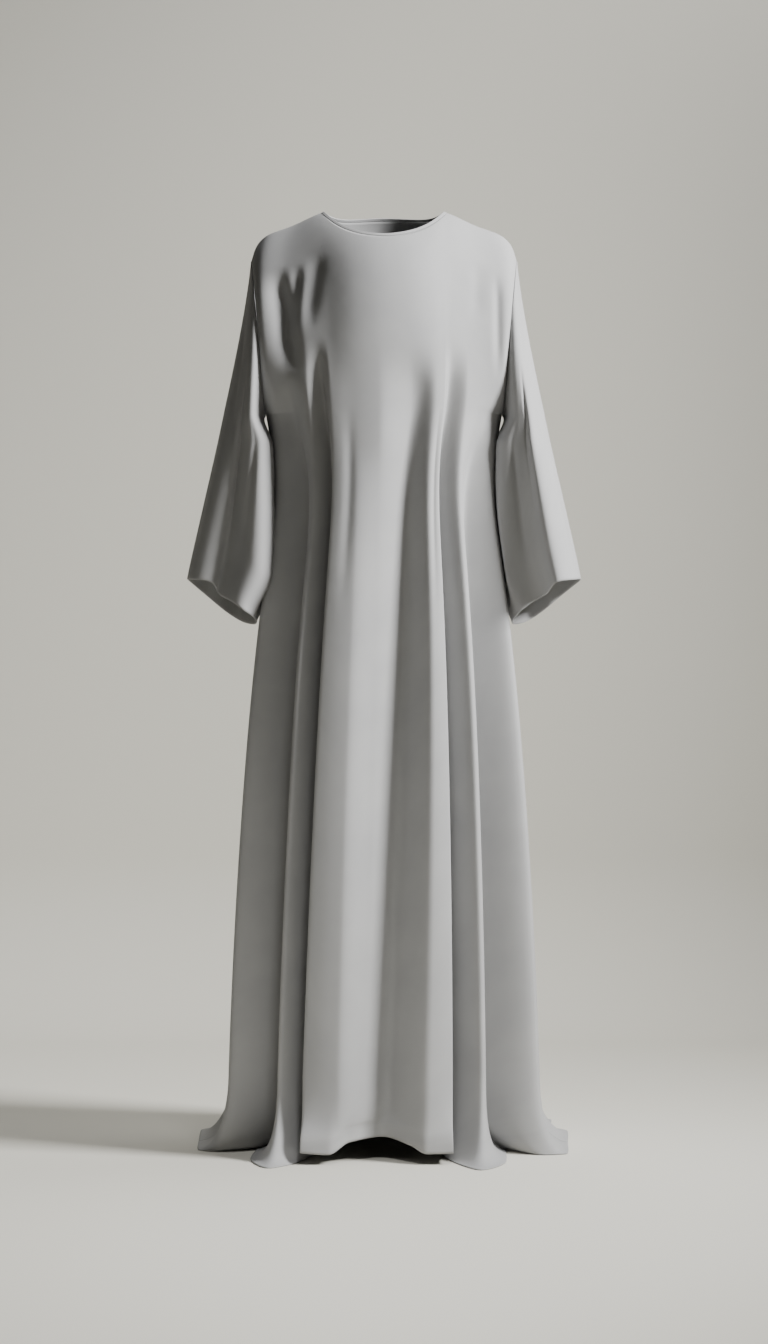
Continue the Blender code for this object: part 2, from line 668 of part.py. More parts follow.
def sleeve_rows(shares, lengths, side):
    """A sleeve's rings from the armhole to the cuff, on the wearer's right or left side."""
    table = np.array([point[1:] for point in CUFFS[side]])
    start = armhole(shares)
    end = smooth_line(table[:, 0], table[:, 1:], shares, period=1.0) * np.array([-1.0, 1.0, 1.0])
    turn = 2.0 * math.pi * shares
    upper = ((1.0 + np.cos(turn)) / 2.0)[:, None]
    sideways = np.array([-1.0, 0.0, 0.0])
    down = np.array([0.0, 0.0, -1.0])
    outwards = np.stack([0.0 * turn, -np.sin(turn), 0.0 * turn], -1)
    leave = sideways * SLEEVE_UNDER + down * SLEEVE_HEAD * upper + outwards * SLEEVE_FULLNESS
    arrive = np.array(SLEEVE_SLANT) * SLEEVE_HANG
    begin = start + sideways * (SEAM_GAP + UNDERARM_GAP * (1.0 - upper))
    rings = np.array([bezier(begin, begin + leave, end - arrive, end, t) for t in lengths])
    hanging = eased((UNDERARM_HEIGHT - rings[..., 2:]) / 0.05)
    hanging *= eased(6.0 * (1.0 - lengths))[:, None, None]
    rings -= sideways * SLEEVE_BOW * hanging * (1.0 - upper) ** 2
    sign = -1.0 if side == "right" else 1.0
    rings = rings * np.array([-sign, 1.0, 1.0])
    rings[1:] = clear_of_body(rings[1:], sign)
    return rings


def build_sleeves(material):
    """The two sleeves."""
    shares = np.arange(CUFF_COLUMNS) / CUFF_COLUMNS
    lengths = np.linspace(0.0, 1.0, 14)
    right = sleeve_rows(shares, lengths, "right")
    cloth_object("sleeve_right", right[:, ::-1], CLOTH, material, closed=True)
    left = sleeve_rows(shares, lengths, "left")
    cloth_object("sleeve_left", left, CLOTH, material, closed=True)


def clear_scene():
    """Removes whatever the file held."""
    for thing in list(bpy.data.objects):
        bpy.data.objects.remove(thing)


def main():
    """Builds the garment."""
    clear_scene()
    material = cloth_material()
    build_body(material)
    build_sleeves(material)


main()
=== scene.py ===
"""A plain grey slip-on abaya, filled out and hanging, in a pale studio.

The frame is in metres, +Z up, with the front towards -Y and the wearer's left towards +X. Its
origin is level with the neck points, where the shoulders hold the garment. Heights in the
tables are above the floor, and turns are degrees round the body from the centre front.
"""
import logging
import math
from dataclasses import dataclass, field
from enum import Enum
from typing import NamedTuple, Optional, Sequence, Union

import bmesh
import bpy
import numpy as np
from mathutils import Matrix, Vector


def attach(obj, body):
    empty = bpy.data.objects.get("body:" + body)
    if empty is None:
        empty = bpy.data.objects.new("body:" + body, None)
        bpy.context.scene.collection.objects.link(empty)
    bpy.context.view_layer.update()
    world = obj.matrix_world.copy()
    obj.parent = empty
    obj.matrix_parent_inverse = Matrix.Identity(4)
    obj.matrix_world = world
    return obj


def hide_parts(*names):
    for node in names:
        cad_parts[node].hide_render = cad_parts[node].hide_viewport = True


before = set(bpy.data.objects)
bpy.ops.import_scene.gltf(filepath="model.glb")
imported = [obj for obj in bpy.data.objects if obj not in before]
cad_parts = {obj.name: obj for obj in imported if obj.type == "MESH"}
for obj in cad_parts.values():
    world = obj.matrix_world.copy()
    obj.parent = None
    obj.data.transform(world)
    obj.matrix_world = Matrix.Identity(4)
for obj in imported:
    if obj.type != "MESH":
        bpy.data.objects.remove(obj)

log = logging.getLogger("abaya")

Number = Union[int, float]
Value = Union["Socket", Number]
Colour = tuple[float, float, float]


class Half(Enum):
    """The two halves of the body."""

    FRONT = 0.0
    BACK = 180.0

    @property
    def outwards(self) -> float:
        """The sign of y on this half's outer side."""
        return -1.0 if self is Half.FRONT else 1.0


HalfSizes = dict[Half, float]


class Side(Enum):
    """The wearer's sides, with the sign of x on each."""

    RIGHT = -1.0
    LEFT = 1.0


class Hold(Enum):
    """How a sheet of cloth is held."""

    HUNG = "hung"
    DRAPED = "draped"


class Section(NamedTuple):
    """The body's base ring at one height."""

    height: float
    half_width: float
    front_reach: float
    back_reach: float


class Fold(NamedTuple):
    """A ridge or trough line that runs down the skirt."""

    name: str
    chest_turn: float
    hem_turn: float
    start: float
    depth: float


class HemPoint(NamedTuple):
    """A point of the hem, for the column at this turn, where the folds spread over the floor."""

    name: str
    turn: float
    x: float
    y: float
    height: float


class Ripple(NamedTuple):
    """A shallow trough between two places on the body, softer and shorter than a fold."""

    top_turn: float
    top_height: float
    low_turn: float
    low_height: float
    half_width: float
    depth: float


class Shoulder(NamedTuple):
    """A point of the line over the shoulders, from the centre outwards."""

    across: float
    x: float
    front_height: float
    back_height: float


class Crease(NamedTuple):
    """A soft trough of the yoke, between two points seen from the front.

    Its slope away from the centre and its slope towards it have their own widths.
    """

    half: Half
    top_x: float
    top_height: float
    low_x: float
    low_height: float
    outer_width: float
    inner_width: float
    depth: float


class CuffPoint(NamedTuple):
    """A fold line of a sleeve, from its place round the armhole to the cuff."""

    name: str
    round_armhole: float
    out: float
    y: float
    height: float


class SleeveCrease(NamedTuple):
    """A soft trough of a sleeve, between two places round it and along it."""

    top_round: float
    top_along: float
    low_round: float
    low_along: float
    half_width: float
    depth: float


def eased(t: np.ndarray) -> np.ndarray:
    """A smooth step from 0 to 1 as t goes from 0 to 1."""
    t = np.clip(t, 0.0, 1.0)
    return t * t * (3.0 - 2.0 * t)


def unit(vectors: np.ndarray) -> np.ndarray:
    """The vectors at length one."""
    return vectors / np.maximum(np.linalg.norm(vectors, axis=-1, keepdims=True), 1e-12)


def level_line(knots: np.ndarray, values: np.ndarray, at: np.ndarray, period: float) -> np.ndarray:
    """A closed curve through the values at the knots, level at every high and low one.

    Args:
        knots: Rising places of the values.
        values: One number for each knot.
        at: Places to read, of any shape.
        period: The length of the closed way round.

    Returns:
        The curve's values, in the shape of at.
    """
    at = (np.asarray(at, float) - knots[0]) % period + knots[0]
    knots = np.append(knots, knots[0] + period)
    values = np.append(values, values[0])
    step = np.diff(knots)
    slope = np.diff(values) / step
    before = np.roll(slope, 1)
    same = before * slope > 0.0
    total = np.where(same, before + slope, 1.0)
    through = np.where(same, 2.0 * before * slope / total, 0.0)
    through = np.append(through, through[0])
    i = np.clip(np.searchsorted(knots, at, side="right") - 1, 0, len(step) - 1)
    t = (at - knots[i]) / step[i]
    bend = step[i] * t * (1.0 - t) * ((1.0 - t) * through[i] - t * through[i + 1])
    return values[i] * (1.0 - eased(t)) + values[i + 1] * eased(t) + bend


def smooth_line(
    knots: np.ndarray, values: np.ndarray, at: np.ndarray, period: Optional[float] = None
) -> np.ndarray:
    """A curve with even curvature through the values at the knots.

    Args:
        knots: Rising places of the values.
        values: One number or one row of numbers for each knot.
        at: Places to read, of any shape.
        period: Length of the way round where the curve closes on itself.

    Returns:
        The curve's values, in the shape of at, with the rows' length added.
    """
    knots, values, at = (np.asarray(a, float) for a in (knots, values, at))
    if period:
        at = (at - knots[0]) % period + knots[0]
        knots = np.append(knots, knots[0] + period)
        values = np.concatenate([values, values[:1]])
    count = len(knots)
    step = np.diff(knots)
    slope = np.diff(values, axis=0) / (step if values.ndim == 1 else step[:, None])
    matrix = np.zeros((count, count))
    right = np.zeros_like(values)
    for i in range(1, count - 1):
        matrix[i, i - 1 : i + 2] = step[i - 1], 2.0 * (step[i - 1] + step[i]), step[i]
        right[i] = 6.0 * (slope[i] - slope[i - 1])
    if period:
        matrix[0, 0], matrix[0, -1] = 1.0, -1.0
        matrix[-1, [0, 1, -2, -1]] = 2.0 * step[0], step[0], step[-1], 2.0 * step[-1]
        right[-1] = 6.0 * (slope[0] - slope[-1])
    else:
        matrix[0, 0] = matrix[-1, -1] = 1.0
    bend = np.linalg.solve(matrix, right)
    i = np.clip(np.searchsorted(knots, at, side="right") - 1, 0, count - 2)
    h = step[i]
    a = (knots[i + 1] - at) / h
    b = 1.0 - a
    if values.ndim > 1:
        a, b, h = a[..., None], b[..., None], h[..., None]
    curve = ((a**3 - a) * bend[i] + (b**3 - b) * bend[i + 1]) * h * h / 6.0
    return a * values[i] + b * values[i + 1] + curve


def bezier(
    a: np.ndarray, b: np.ndarray, c: np.ndarray, d: np.ndarray, t: np.ndarray
) -> np.ndarray:
    """Points on the cubic curves from a to d with handles b and c."""
    s = 1.0 - t
    return s**3 * a + 3 * s * s * t * b + 3 * s * t * t * c + t**3 * d


class Socket:
    """A shader value that arithmetic turns into Math nodes."""

    def __init__(self, graph: "Graph", link: bpy.types.NodeSocket) -> None:
        """Keeps the graph and the output socket."""
        self.graph = graph
        self.link = link

    def _math(self, operation: str, first: Value, second: Value) -> "Socket":
        """One Math node.

        Args:
            operation: The Math node's operation.
            first: Its first value.
            second: Its second value.

        Returns:
            The node's result.
        """
        return self.graph.node("ShaderNodeMath", {"operation": operation}, {0: first, 1: second})

    def __add__(self, other: Value) -> "Socket":
        """self + other."""
        return self._math("ADD", self, other)

    def __radd__(self, other: Number) -> "Socket":
        """other + self."""
        return self._math("ADD", other, self)

    def __sub__(self, other: Value) -> "Socket":
        """self - other."""
        return self._math("SUBTRACT", self, other)

    def __rsub__(self, other: Number) -> "Socket":
        """other - self."""
        return self._math("SUBTRACT", other, self)

    def __mul__(self, other: Value) -> "Socket":
        """self * other."""
        return self._math("MULTIPLY", self, other)

    def __rmul__(self, other: Number) -> "Socket":
        """other * self."""
        return self._math("MULTIPLY", other, self)

    def __truediv__(self, other: Value) -> "Socket":
        """self / other."""
        return self._math("DIVIDE", self, other)

    def sine(self) -> "Socket":
        """The sine of the value."""
        return self._math("SINE", self, 0.0)

    def size(self) -> "Socket":
        """The value without its sign."""
        return self._math("ABSOLUTE", self, 0.0)


class Graph:
    """The node tree of one material."""

    def __init__(self, name: str) -> None:
        """Makes the material and empties its tree."""
        self.material = bpy.data.materials.new(name)
        self.material.use_nodes = True
        self.tree = self.material.node_tree
        self.tree.nodes.clear()

    def node(
        self,
        kind: str,
        settings: Optional[dict[str, object]] = None,
        inputs: Optional[dict[Union[int, str], object]] = None,
        output: Union[int, str] = 0,
    ) -> Socket:
        """Adds a node.

        Args:
            kind: The node's type.
            settings: Properties of the node, set first. "stops" holds a ramp's places and values.
            inputs: Values or links of its sockets.
            output: The output wanted.

        Returns:
            That output.
        """
        made = self.tree.nodes.new(kind)
        for key, value in (settings or {}).items():
            if key == "stops":
                self._stops(made, value)
            else:
                setattr(made, key, value)
        for key, value in (inputs or {}).items():
            if isinstance(value, Socket):
                self.tree.links.new(value.link, made.inputs[key])
            else:
                made.inputs[key].default_value = value
        return Socket(self, made.outputs[output] if made.outputs else None)

    @staticmethod
    def _stops(ramp: bpy.types.Node, stops: Sequence[tuple[float, float]]) -> None:
        """Sets a ramp's stops to greys at places."""
        elements = ramp.color_ramp.elements
        while len(elements) < len(stops):
            elements.new(1.0)
        for element, (place, grey) in zip(elements, stops):
            element.position = place
            element.color = (grey, grey, grey, 1.0)

    def mix(self, share: Socket, first: Colour, second: Colour) -> Socket:
        """A colour between two, by a share that varies over the surface."""
        return self.node(
            "ShaderNodeMix",
            {"data_type": "RGBA"},
            {0: share, 6: (*first, 1.0), 7: (*second, 1.0)},
            2,
        )


@dataclass(frozen=True)
class CrepeFinish:
    """Dry, matte, plain-woven crepe in one grey.

    Attributes:
        name: The material's name.
        shade: The cloth's colour.
        worn: The colour of the soft bloom over it.
        roughness: The middle roughness.
        thread: The spacing of the threads, in metres.
        grain: The size of the crepe's pebble, in metres.
        hem: How far the hidden hem stitches lie from the edge.
    """

    name: str = "grey crepe"
    shade: Colour = (0.345, 0.345, 0.347)
    worn: Colour = (0.385, 0.384, 0.382)
    roughness: float = 0.86
    thread: float = 0.00065
    grain: float = 0.0011
    hem: float = 0.022

    def make(self) -> bpy.types.Material:
        """Builds the material.

        Returns:
            The material.
        """
        graph = Graph(self.name)
        cloth = graph.node("ShaderNodeUVMap", {"uv_map": "cloth"})
        parts = graph.node("ShaderNodeSeparateXYZ", {}, {0: cloth})
        across = Socket(graph, parts.link.node.outputs[0])
        along = Socket(graph, parts.link.node.outputs[1])
        turn = 2.0 * math.pi / self.thread
        weft = (along * turn).sine()
        warp = (across * turn).sine()
        weave = warp * weft
        pebble = graph.node(
            "ShaderNodeTexNoise",
            {"noise_dimensions": "3D"},
            {"Vector": cloth, "Scale": 1.0 / self.grain, "Detail": 2.0, "Roughness": 0.6},
        )
        slub = graph.node(
            "ShaderNodeTexNoise",
            {"noise_dimensions": "3D"},
            {"Vector": cloth, "Scale": 9.0, "Detail": 3.0, "Roughness": 0.55},
        )
        edge = graph.node("ShaderNodeAttribute", {"attribute_name": "from_edge"}, {}, 2)
        near = (edge - self.hem).size() / 0.0012
        stitch = graph.node("ShaderNodeMath", {"operation": "LESS_THAN"}, {0: near, 1: 1.0})
        height = pebble * 0.55 + weave * 0.16 - stitch * 0.22
        bump = graph.node(
            "ShaderNodeBump", {}, {"Strength": 0.20, "Distance": 0.0005, "Height": height}
        )
        bloom = graph.node(
            "ShaderNodeValToRGB", {"stops": ((0.30, 0.0), (0.72, 1.0))}, {0: slub}
        )
        colour = graph.mix(bloom, self.shade, self.worn)
        shader = graph.node(
            "ShaderNodeBsdfPrincipled",
            {},
            {
                "Base Color": colour,
                "Roughness": self.roughness - 0.06 * pebble,
                "Normal": bump,
                "Specular IOR Level": 0.22,
                "Sheen Weight": 0.10,
                "Sheen Roughness": 0.45,
                "Sheen Tint": (0.9, 0.9, 0.9, 1.0),
            },
        )
        graph.node("ShaderNodeOutputMaterial", {}, {"Surface": shader})
        return graph.material


@dataclass(frozen=True)
class PaperFinish:
    """The plain matt sweep that the garment stands on, clear when seen from its back."""

    name: str = "studio sweep"
    shade: Colour = (0.70, 0.682, 0.610)
    roughness: float = 0.9

    def make(self) -> bpy.types.Material:
        """Builds the material.

        Returns:
            The material.
        """
        graph = Graph(self.name)
        place = graph.node("ShaderNodeTexCoord", {}, {}, "Object")
        cloud = graph.node("ShaderNodeTexNoise", {}, {"Vector": place, "Scale": 0.7, "Detail": 2.0})
        darker = tuple(0.97 * part for part in self.shade)
        shader = graph.node(
            "ShaderNodeBsdfPrincipled",
            {},
            {
                "Base Color": graph.mix(cloud, self.shade, darker),
                "Roughness": self.roughness,
                "Specular IOR Level": 0.2,
            },
        )
        behind = graph.node("ShaderNodeNewGeometry", {}, {}, "Backfacing")
        clear = graph.node("ShaderNodeBsdfTransparent")
        either = graph.node("ShaderNodeMixShader", {}, {0: behind, 1: shader, 2: clear})
        graph.node("ShaderNodeOutputMaterial", {}, {"Surface": either})
        return graph.material


@dataclass
class Piece:
    """One piece of cloth, from its rows of points to its place in the frame.

    Attributes:
        name: The piece's name.
        node: The CAD node that it stands for.
        slot: A name for its material slot; not used.
        thickness: The cloth's thickness.
        flat: Width and length that it was cut to; not used.
        area: Its flat area; not used.
        hold: How it is held; not used.
        rests_on: What it hangs from or lies on; not used.
    """

    name: str
    node: str
    slot: str
    thickness: float
    flat: tuple[float, float]
    area: float
    hold: Hold
    rests_on: tuple[str, ...]

    def sew(
        self,
        rows: np.ndarray,
        material: bpy.types.Material,
        neck_height: float,
        closed: bool = False,
        edge_last: bool = True,
    ) -> bpy.types.Object:
        """Makes the sheet through rows of points and dresses it.

        Args:
            rows: Points above the floor, row by row, with outer faces on the left of each row.
            material: The cloth's finish.
            neck_height: How far the frame's origin lies above the floor.
            closed: Whether each row closes on itself.
            edge_last: Whether the last row is a hemmed edge.

        Returns:
            The piece.
        """
        rows = rows - np.array([0.0, 0.0, neck_height])
        count, columns = rows.shape[:2]
        ring = np.concatenate([rows, rows[:, :1]], axis=1) if closed else rows
        across = np.zeros(ring.shape[:2])
        across[:, 1:] = np.cumsum(np.linalg.norm(np.diff(ring, axis=1), axis=-1), axis=1)
        along = np.zeros(ring.shape[:2])
        along[1:] = np.cumsum(np.linalg.norm(np.diff(ring, axis=0), axis=-1), axis=0)
        away = along[-1:] - along if edge_last else np.ones_like(along)
        upper = np.arange(count - 1)[:, None]
        here = np.arange(columns if closed else columns - 1)[None, :]
        after = (here + 1) % columns
        corners = np.stack(
            [
                upper * columns + here,
                (upper + 1) * columns + here,
                (upper + 1) * columns + after,
                upper * columns + after,
            ],
            -1,
        ).reshape(-1, 4)
        mesh = bpy.data.meshes.new(self.name)
        mesh.from_pydata(rows.reshape(-1, 3).tolist(), [], corners.tolist())
        layer = mesh.uv_layers.new(name="cloth")
        grid = np.stack([across, along], -1)
        wide = here + 0 * upper
        high = upper + 0 * here
        loops = np.stack(
            [
                grid[high, wide],
                grid[high + 1, wide],
                grid[high + 1, wide + 1],
                grid[high, wide + 1],
            ],
            axis=2,
        )
        layer.data.foreach_set("uv", loops.reshape(-1))
        distance = mesh.attributes.new("from_edge", "FLOAT", "POINT")
        distance.data.foreach_set("value", away[:, :columns].reshape(-1))
        mesh.shade_smooth()
        mesh.materials.append(material)
        piece = bpy.data.objects.new(self.name, mesh)
        bpy.context.scene.collection.objects.link(piece)
        wall = piece.modifiers.new("cloth thickness", "SOLIDIFY")
        wall.thickness = self.thickness
        wall.offset = 0.0
        self.place(piece)
        return piece

    def place(self, piece: bpy.types.Object) -> None:
        """Args:
            piece: The piece's object.
        """
        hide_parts(self.node)
        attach(piece, "root")
        log.info("%s stands for %s, with %d points", piece.name, self.node, len(piece.data.vertices))


@dataclass
class Body:
    """The body's surface: a ring at every height, closed over the shoulders by a yoke.

    Attributes:
        neck_height: Height of the neck points above the floor.
        underarm: Height of the underarm.
        lowest: Height of the cloth's middle where it lies on the floor.
        back_spread: How far back the hem's middle lies.
        shoulder_tip: Across and height of the shoulder's tip.
        neck_half_width: Half the neck opening's width, at the panels' edge.
        neck_reach: The neck opening's reach forwards and backwards.
        neck_drop: How far the neck's edge sinks at the centre.
        neck_fullness: How full the yoke comes over the top at the centre.
        shoulder_fullness: How full it comes over the shoulders.
        armhole_reach: The armhole's reach forwards and backwards.
        armhole_middle: How far out its middle lies.
        armhole_blend: How many degrees round the yoke follows the armhole.
        yoke_rise: How upright the yoke leaves the underarm.
        sweep_start: Where the skirt's last stretch starts.
        sweep_drop: How far it hangs before it turns onto the floor.
        sweep_flat: The share of its way out that it then lies flat.
        sweep_rise: How far its end stands off the floor on the way.
        sweep_upright: How upright it ends where it hangs clear.
        clear_of_floor: The height from which it hangs clear.
        sections: The base rings.
        folds: The fold lines round the body.
        ripples: Shallow troughs between them.
        shoulders: The line over the shoulders.
        creases: The yoke's troughs.
    """

    neck_height: float = 1.434
    underarm: float = 1.12
    lowest: float = 0.001
    back_spread: float = 0.03
    shoulder_tip: tuple[float, float] = (0.2015, 1.357)
    neck_half_width: float = 0.0960
    neck_reach: HalfSizes = field(default_factory=lambda: {Half.FRONT: 0.0895, Half.BACK: 0.0815})
    neck_drop: HalfSizes = field(default_factory=lambda: {Half.FRONT: 0.030, Half.BACK: -0.020})
    neck_fullness: float = 0.110
    shoulder_fullness: float = 0.042
    armhole_reach: HalfSizes = field(default_factory=lambda: {Half.FRONT: 0.066, Half.BACK: 0.074})
    armhole_middle: float = 0.1855
    armhole_blend: float = 62.0
    yoke_rise: float = 0.10
    sweep_start: float = 0.13
    sweep_drop: float = 0.105
    sweep_flat: float = 0.55
    sweep_rise: float = 0.004
    sweep_upright: float = 0.045
    clear_of_floor: float = 0.012
    sections: tuple[Section, ...] = (
        Section(0.000, 0.232, 0.176, 0.268),
        Section(0.220, 0.225, 0.166, 0.240),
        Section(0.500, 0.211, 0.153, 0.200),
        Section(0.780, 0.189, 0.1405, 0.160),
        Section(0.900, 0.1755, 0.135, 0.142),
        Section(1.020, 0.1665, 0.131, 0.126),
        Section(1.120, 0.179, 0.129, 0.118),
    )
    folds: tuple[Fold, ...] = (
        Fold("right_side_seam", -90.0, -90.0, 1.08, 0.012),
        Fold("right_side_ridge", -70.0, -69.0, 1.16, -0.022),
        Fold("right_valley", -54.0, -54.0, 1.20, 0.078),
        Fold("right_front_ridge", -39.0, -43.0, 1.23, -0.004),
        Fold("right_groove", -32.0, -37.0, 1.24, 0.072),
        Fold("panel_right_edge", -26.0, -31.5, 1.23, -0.006),
        Fold("panel_right_ridge", -14.0, -18.0, 1.10, -0.004),
        Fold("panel_rise", -2.0, -9.0, 1.10, 0.028),
        Fold("panel_valley", 14.5, 0.0, 1.24, 0.060),
        Fold("panel_left_ridge", 25.5, 16.0, 1.23, -0.004),
        Fold("panel_left_edge", 29.5, 25.5, 1.23, 0.000),
        Fold("left_groove", 34.0, 32.0, 1.24, 0.072),
        Fold("left_front_ridge", 43.0, 39.5, 1.23, -0.002),
        Fold("left_valley", 57.0, 54.0, 1.14, 0.074),
        Fold("left_side_ridge", 71.0, 69.0, 1.16, -0.022),
        Fold("left_side_seam", 90.0, 90.0, 1.08, 0.010),
        Fold("back_left_ridge", 108.0, 108.0, 1.10, -0.010),
        Fold("back_left_groove", 122.0, 121.0, 1.20, 0.060),
        Fold("back_left_panel", 136.0, 134.0, 1.15, -0.004),
        Fold("back_left_valley", 152.0, 149.0, 1.15, 0.064),
        Fold("back_centre_left", 166.0, 165.0, 1.20, -0.002),
        Fold("back_centre_valley", 178.0, 179.0, 1.05, 0.044),
        Fold("back_centre_right", 191.0, 193.0, 1.20, -0.002),
        Fold("back_right_valley", 207.0, 209.0, 1.12, 0.066),
        Fold("back_right_panel", 223.0, 226.0, 1.18, -0.004),
        Fold("back_right_groove", 238.0, 240.0, 1.20, 0.060),
        Fold("back_right_ridge", 252.0, 252.0, 1.10, -0.010),
    )
    hem: tuple[HemPoint, ...] = (
        HemPoint("right_side", -90.0, -0.288, 0.085, 0.001),
        HemPoint("right_side_corner", -74.0, -0.284, 0.000, 0.001),
        HemPoint("right_side_front", -65.0, -0.258, -0.014, 0.001),
        HemPoint("right_valley", -54.0, -0.192, 0.020, 0.001),
        HemPoint("right_toe_outside", -48.5, -0.200, -0.090, 0.001),
        HemPoint("right_toe_tip", -43.5, -0.170, -0.181, 0.001),
        HemPoint("right_toe_inside", -40.0, -0.134, -0.140, 0.001),
        HemPoint("right_groove", -37.0, -0.104, -0.055, 0.003),
        HemPoint("panel_right_edge", -31.5, -0.124, -0.150, 0.018),
        HemPoint("panel_right_low", -20.9, -0.083, -0.152, 0.0155),
        HemPoint("panel_right_rise", -12.6, -0.051, -0.128, 0.031),
        HemPoint("panel_arch", 0.0, -0.002, -0.095, 0.0345),
        HemPoint("panel_left_rise", 9.9, 0.040, -0.130, 0.026),
        HemPoint("panel_left_low", 15.5, 0.063, -0.150, 0.0165),
        HemPoint("panel_left_edge", 25.5, 0.102, -0.150, 0.0175),
        HemPoint("left_groove", 32.0, 0.086, -0.060, 0.003),
        HemPoint("left_toe_inside", 36.0, 0.110, -0.142, 0.001),
        HemPoint("left_toe_tip", 40.5, 0.142, -0.199, 0.001),
        HemPoint("left_toe_outside", 46.5, 0.182, -0.120, 0.001),
        HemPoint("left_valley", 54.0, 0.188, 0.010, 0.001),
        HemPoint("left_side_front", 63.0, 0.240, -0.052, 0.001),
        HemPoint("left_side_corner", 72.0, 0.277, -0.040, 0.001),
        HemPoint("left_side", 90.0, 0.285, 0.075, 0.001),
        HemPoint("back_left_corner", 108.0, 0.291, 0.190, 0.001),
        HemPoint("back_left_groove", 121.0, 0.268, 0.246, 0.001),
        HemPoint("back_left_toe", 130.0, 0.272, 0.318, 0.001),
        HemPoint("back_left_tip", 138.0, 0.222, 0.352, 0.001),
        HemPoint("back_left_valley", 149.0, 0.148, 0.316, 0.001),
        HemPoint("back_middle_left_toe", 159.0, 0.116, 0.366, 0.001),
        HemPoint("back_middle_left_tip", 168.0, 0.064, 0.388, 0.001),
        HemPoint("back_middle", 179.0, 0.004, 0.350, 0.001),
        HemPoint("back_middle_right_tip", 191.0, -0.066, 0.382, 0.001),
        HemPoint("back_middle_right_toe", 201.0, -0.114, 0.358, 0.001),
        HemPoint("back_right_valley", 209.0, -0.142, 0.312, 0.001),
        HemPoint("back_right_tip", 221.0, -0.212, 0.350, 0.001),
        HemPoint("back_right_toe", 230.0, -0.270, 0.312, 0.001),
        HemPoint("back_right_groove", 240.0, -0.268, 0.250, 0.001),
        HemPoint("back_right_corner", 254.0, -0.291, 0.200, 0.001),
    )
    ripples: tuple[Ripple, ...] = (
        Ripple(-44.0, 1.16, -46.0, 0.72, 3.2, 0.0035),
        Ripple(-61.0, 1.10, -61.0, 0.35, 3.5, 0.0040),
        Ripple(-78.0, 1.00, -79.0, 0.30, 4.0, 0.0035),
        Ripple(21.0, 1.14, 18.0, 0.78, 3.0, 0.0025),
        Ripple(-21.0, 1.13, -23.0, 0.80, 3.0, 0.0022),
        Ripple(48.0, 1.14, 47.0, 0.60, 3.2, 0.0035),
        Ripple(64.0, 1.06, 62.0, 0.34, 3.6, 0.0040),
        Ripple(80.0, 1.02, 79.0, 0.42, 4.0, 0.0035),
        Ripple(100.0, 1.04, 99.0, 0.40, 3.5, 0.0040),
        Ripple(114.0, 1.12, 114.0, 0.55, 3.2, 0.0035),
        Ripple(141.0, 1.14, 142.0, 0.52, 3.4, 0.0035),
        Ripple(158.0, 1.10, 157.0, 0.66, 3.0, 0.0030),
        Ripple(186.0, 1.12, 186.0, 0.60, 3.6, 0.0035),
        Ripple(200.0, 1.14, 201.0, 0.70, 3.0, 0.0030),
        Ripple(217.0, 1.10, 218.0, 0.48, 3.4, 0.0035),
        Ripple(246.0, 1.08, 246.0, 0.50, 3.4, 0.0040),
        Ripple(261.0, 1.02, 262.0, 0.36, 3.6, 0.0035),
    )
    shoulders: tuple[Shoulder, ...] = (
        Shoulder(0.00, 0.000, 1.440, 1.460),
        Shoulder(0.17, 0.048, 1.438, 1.452),
        Shoulder(0.36, 0.0960, 1.430, 1.430),
        Shoulder(0.52, 0.137, 1.4115, 1.4115),
        Shoulder(0.72, 0.176, 1.3965, 1.3965),
        Shoulder(0.88, 0.1945, 1.378, 1.378),
        Shoulder(1.00, 0.2015, 1.357, 1.357),
    )
    creases: tuple[Crease, ...] = (
        Crease(Half.FRONT, -0.160, 1.342, -0.136, 1.200, 0.018, 0.011, 0.013),
        Crease(Half.FRONT, -0.127, 1.345, -0.136, 1.256, 0.010, 0.007, 0.005),
        Crease(Half.FRONT, -0.094, 1.365, -0.111, 1.262, 0.013, 0.010, 0.004),
        Crease(Half.FRONT, 0.170, 1.338, 0.171, 1.195, 0.008, 0.006, 0.004),
        Crease(Half.FRONT, 0.141, 1.352, 0.137, 1.268, 0.012, 0.009, 0.002),
        Crease(Half.BACK, -0.158, 1.350, -0.163, 1.190, 0.014, 0.011, 0.009),
        Crease(Half.BACK, 0.155, 1.352, 0.163, 1.175, 0.015, 0.011, 0.010),
        Crease(Half.BACK, -0.096, 1.345, -0.112, 1.215, 0.016, 0.012, 0.005),
        Crease(Half.BACK, 0.104, 1.360, 0.112, 1.240, 0.015, 0.012, 0.006),
    )

    def column(self, name: str) -> np.ndarray:
        """One column of the fold table."""
        return np.array([getattr(fold, name) for fold in self.folds])

    def along_folds(self, values: np.ndarray, places: np.ndarray) -> np.ndarray:
        """Values given at the fold lines, read at places round the body."""
        return level_line(self.column("hem_turn"), values, places, 360.0)

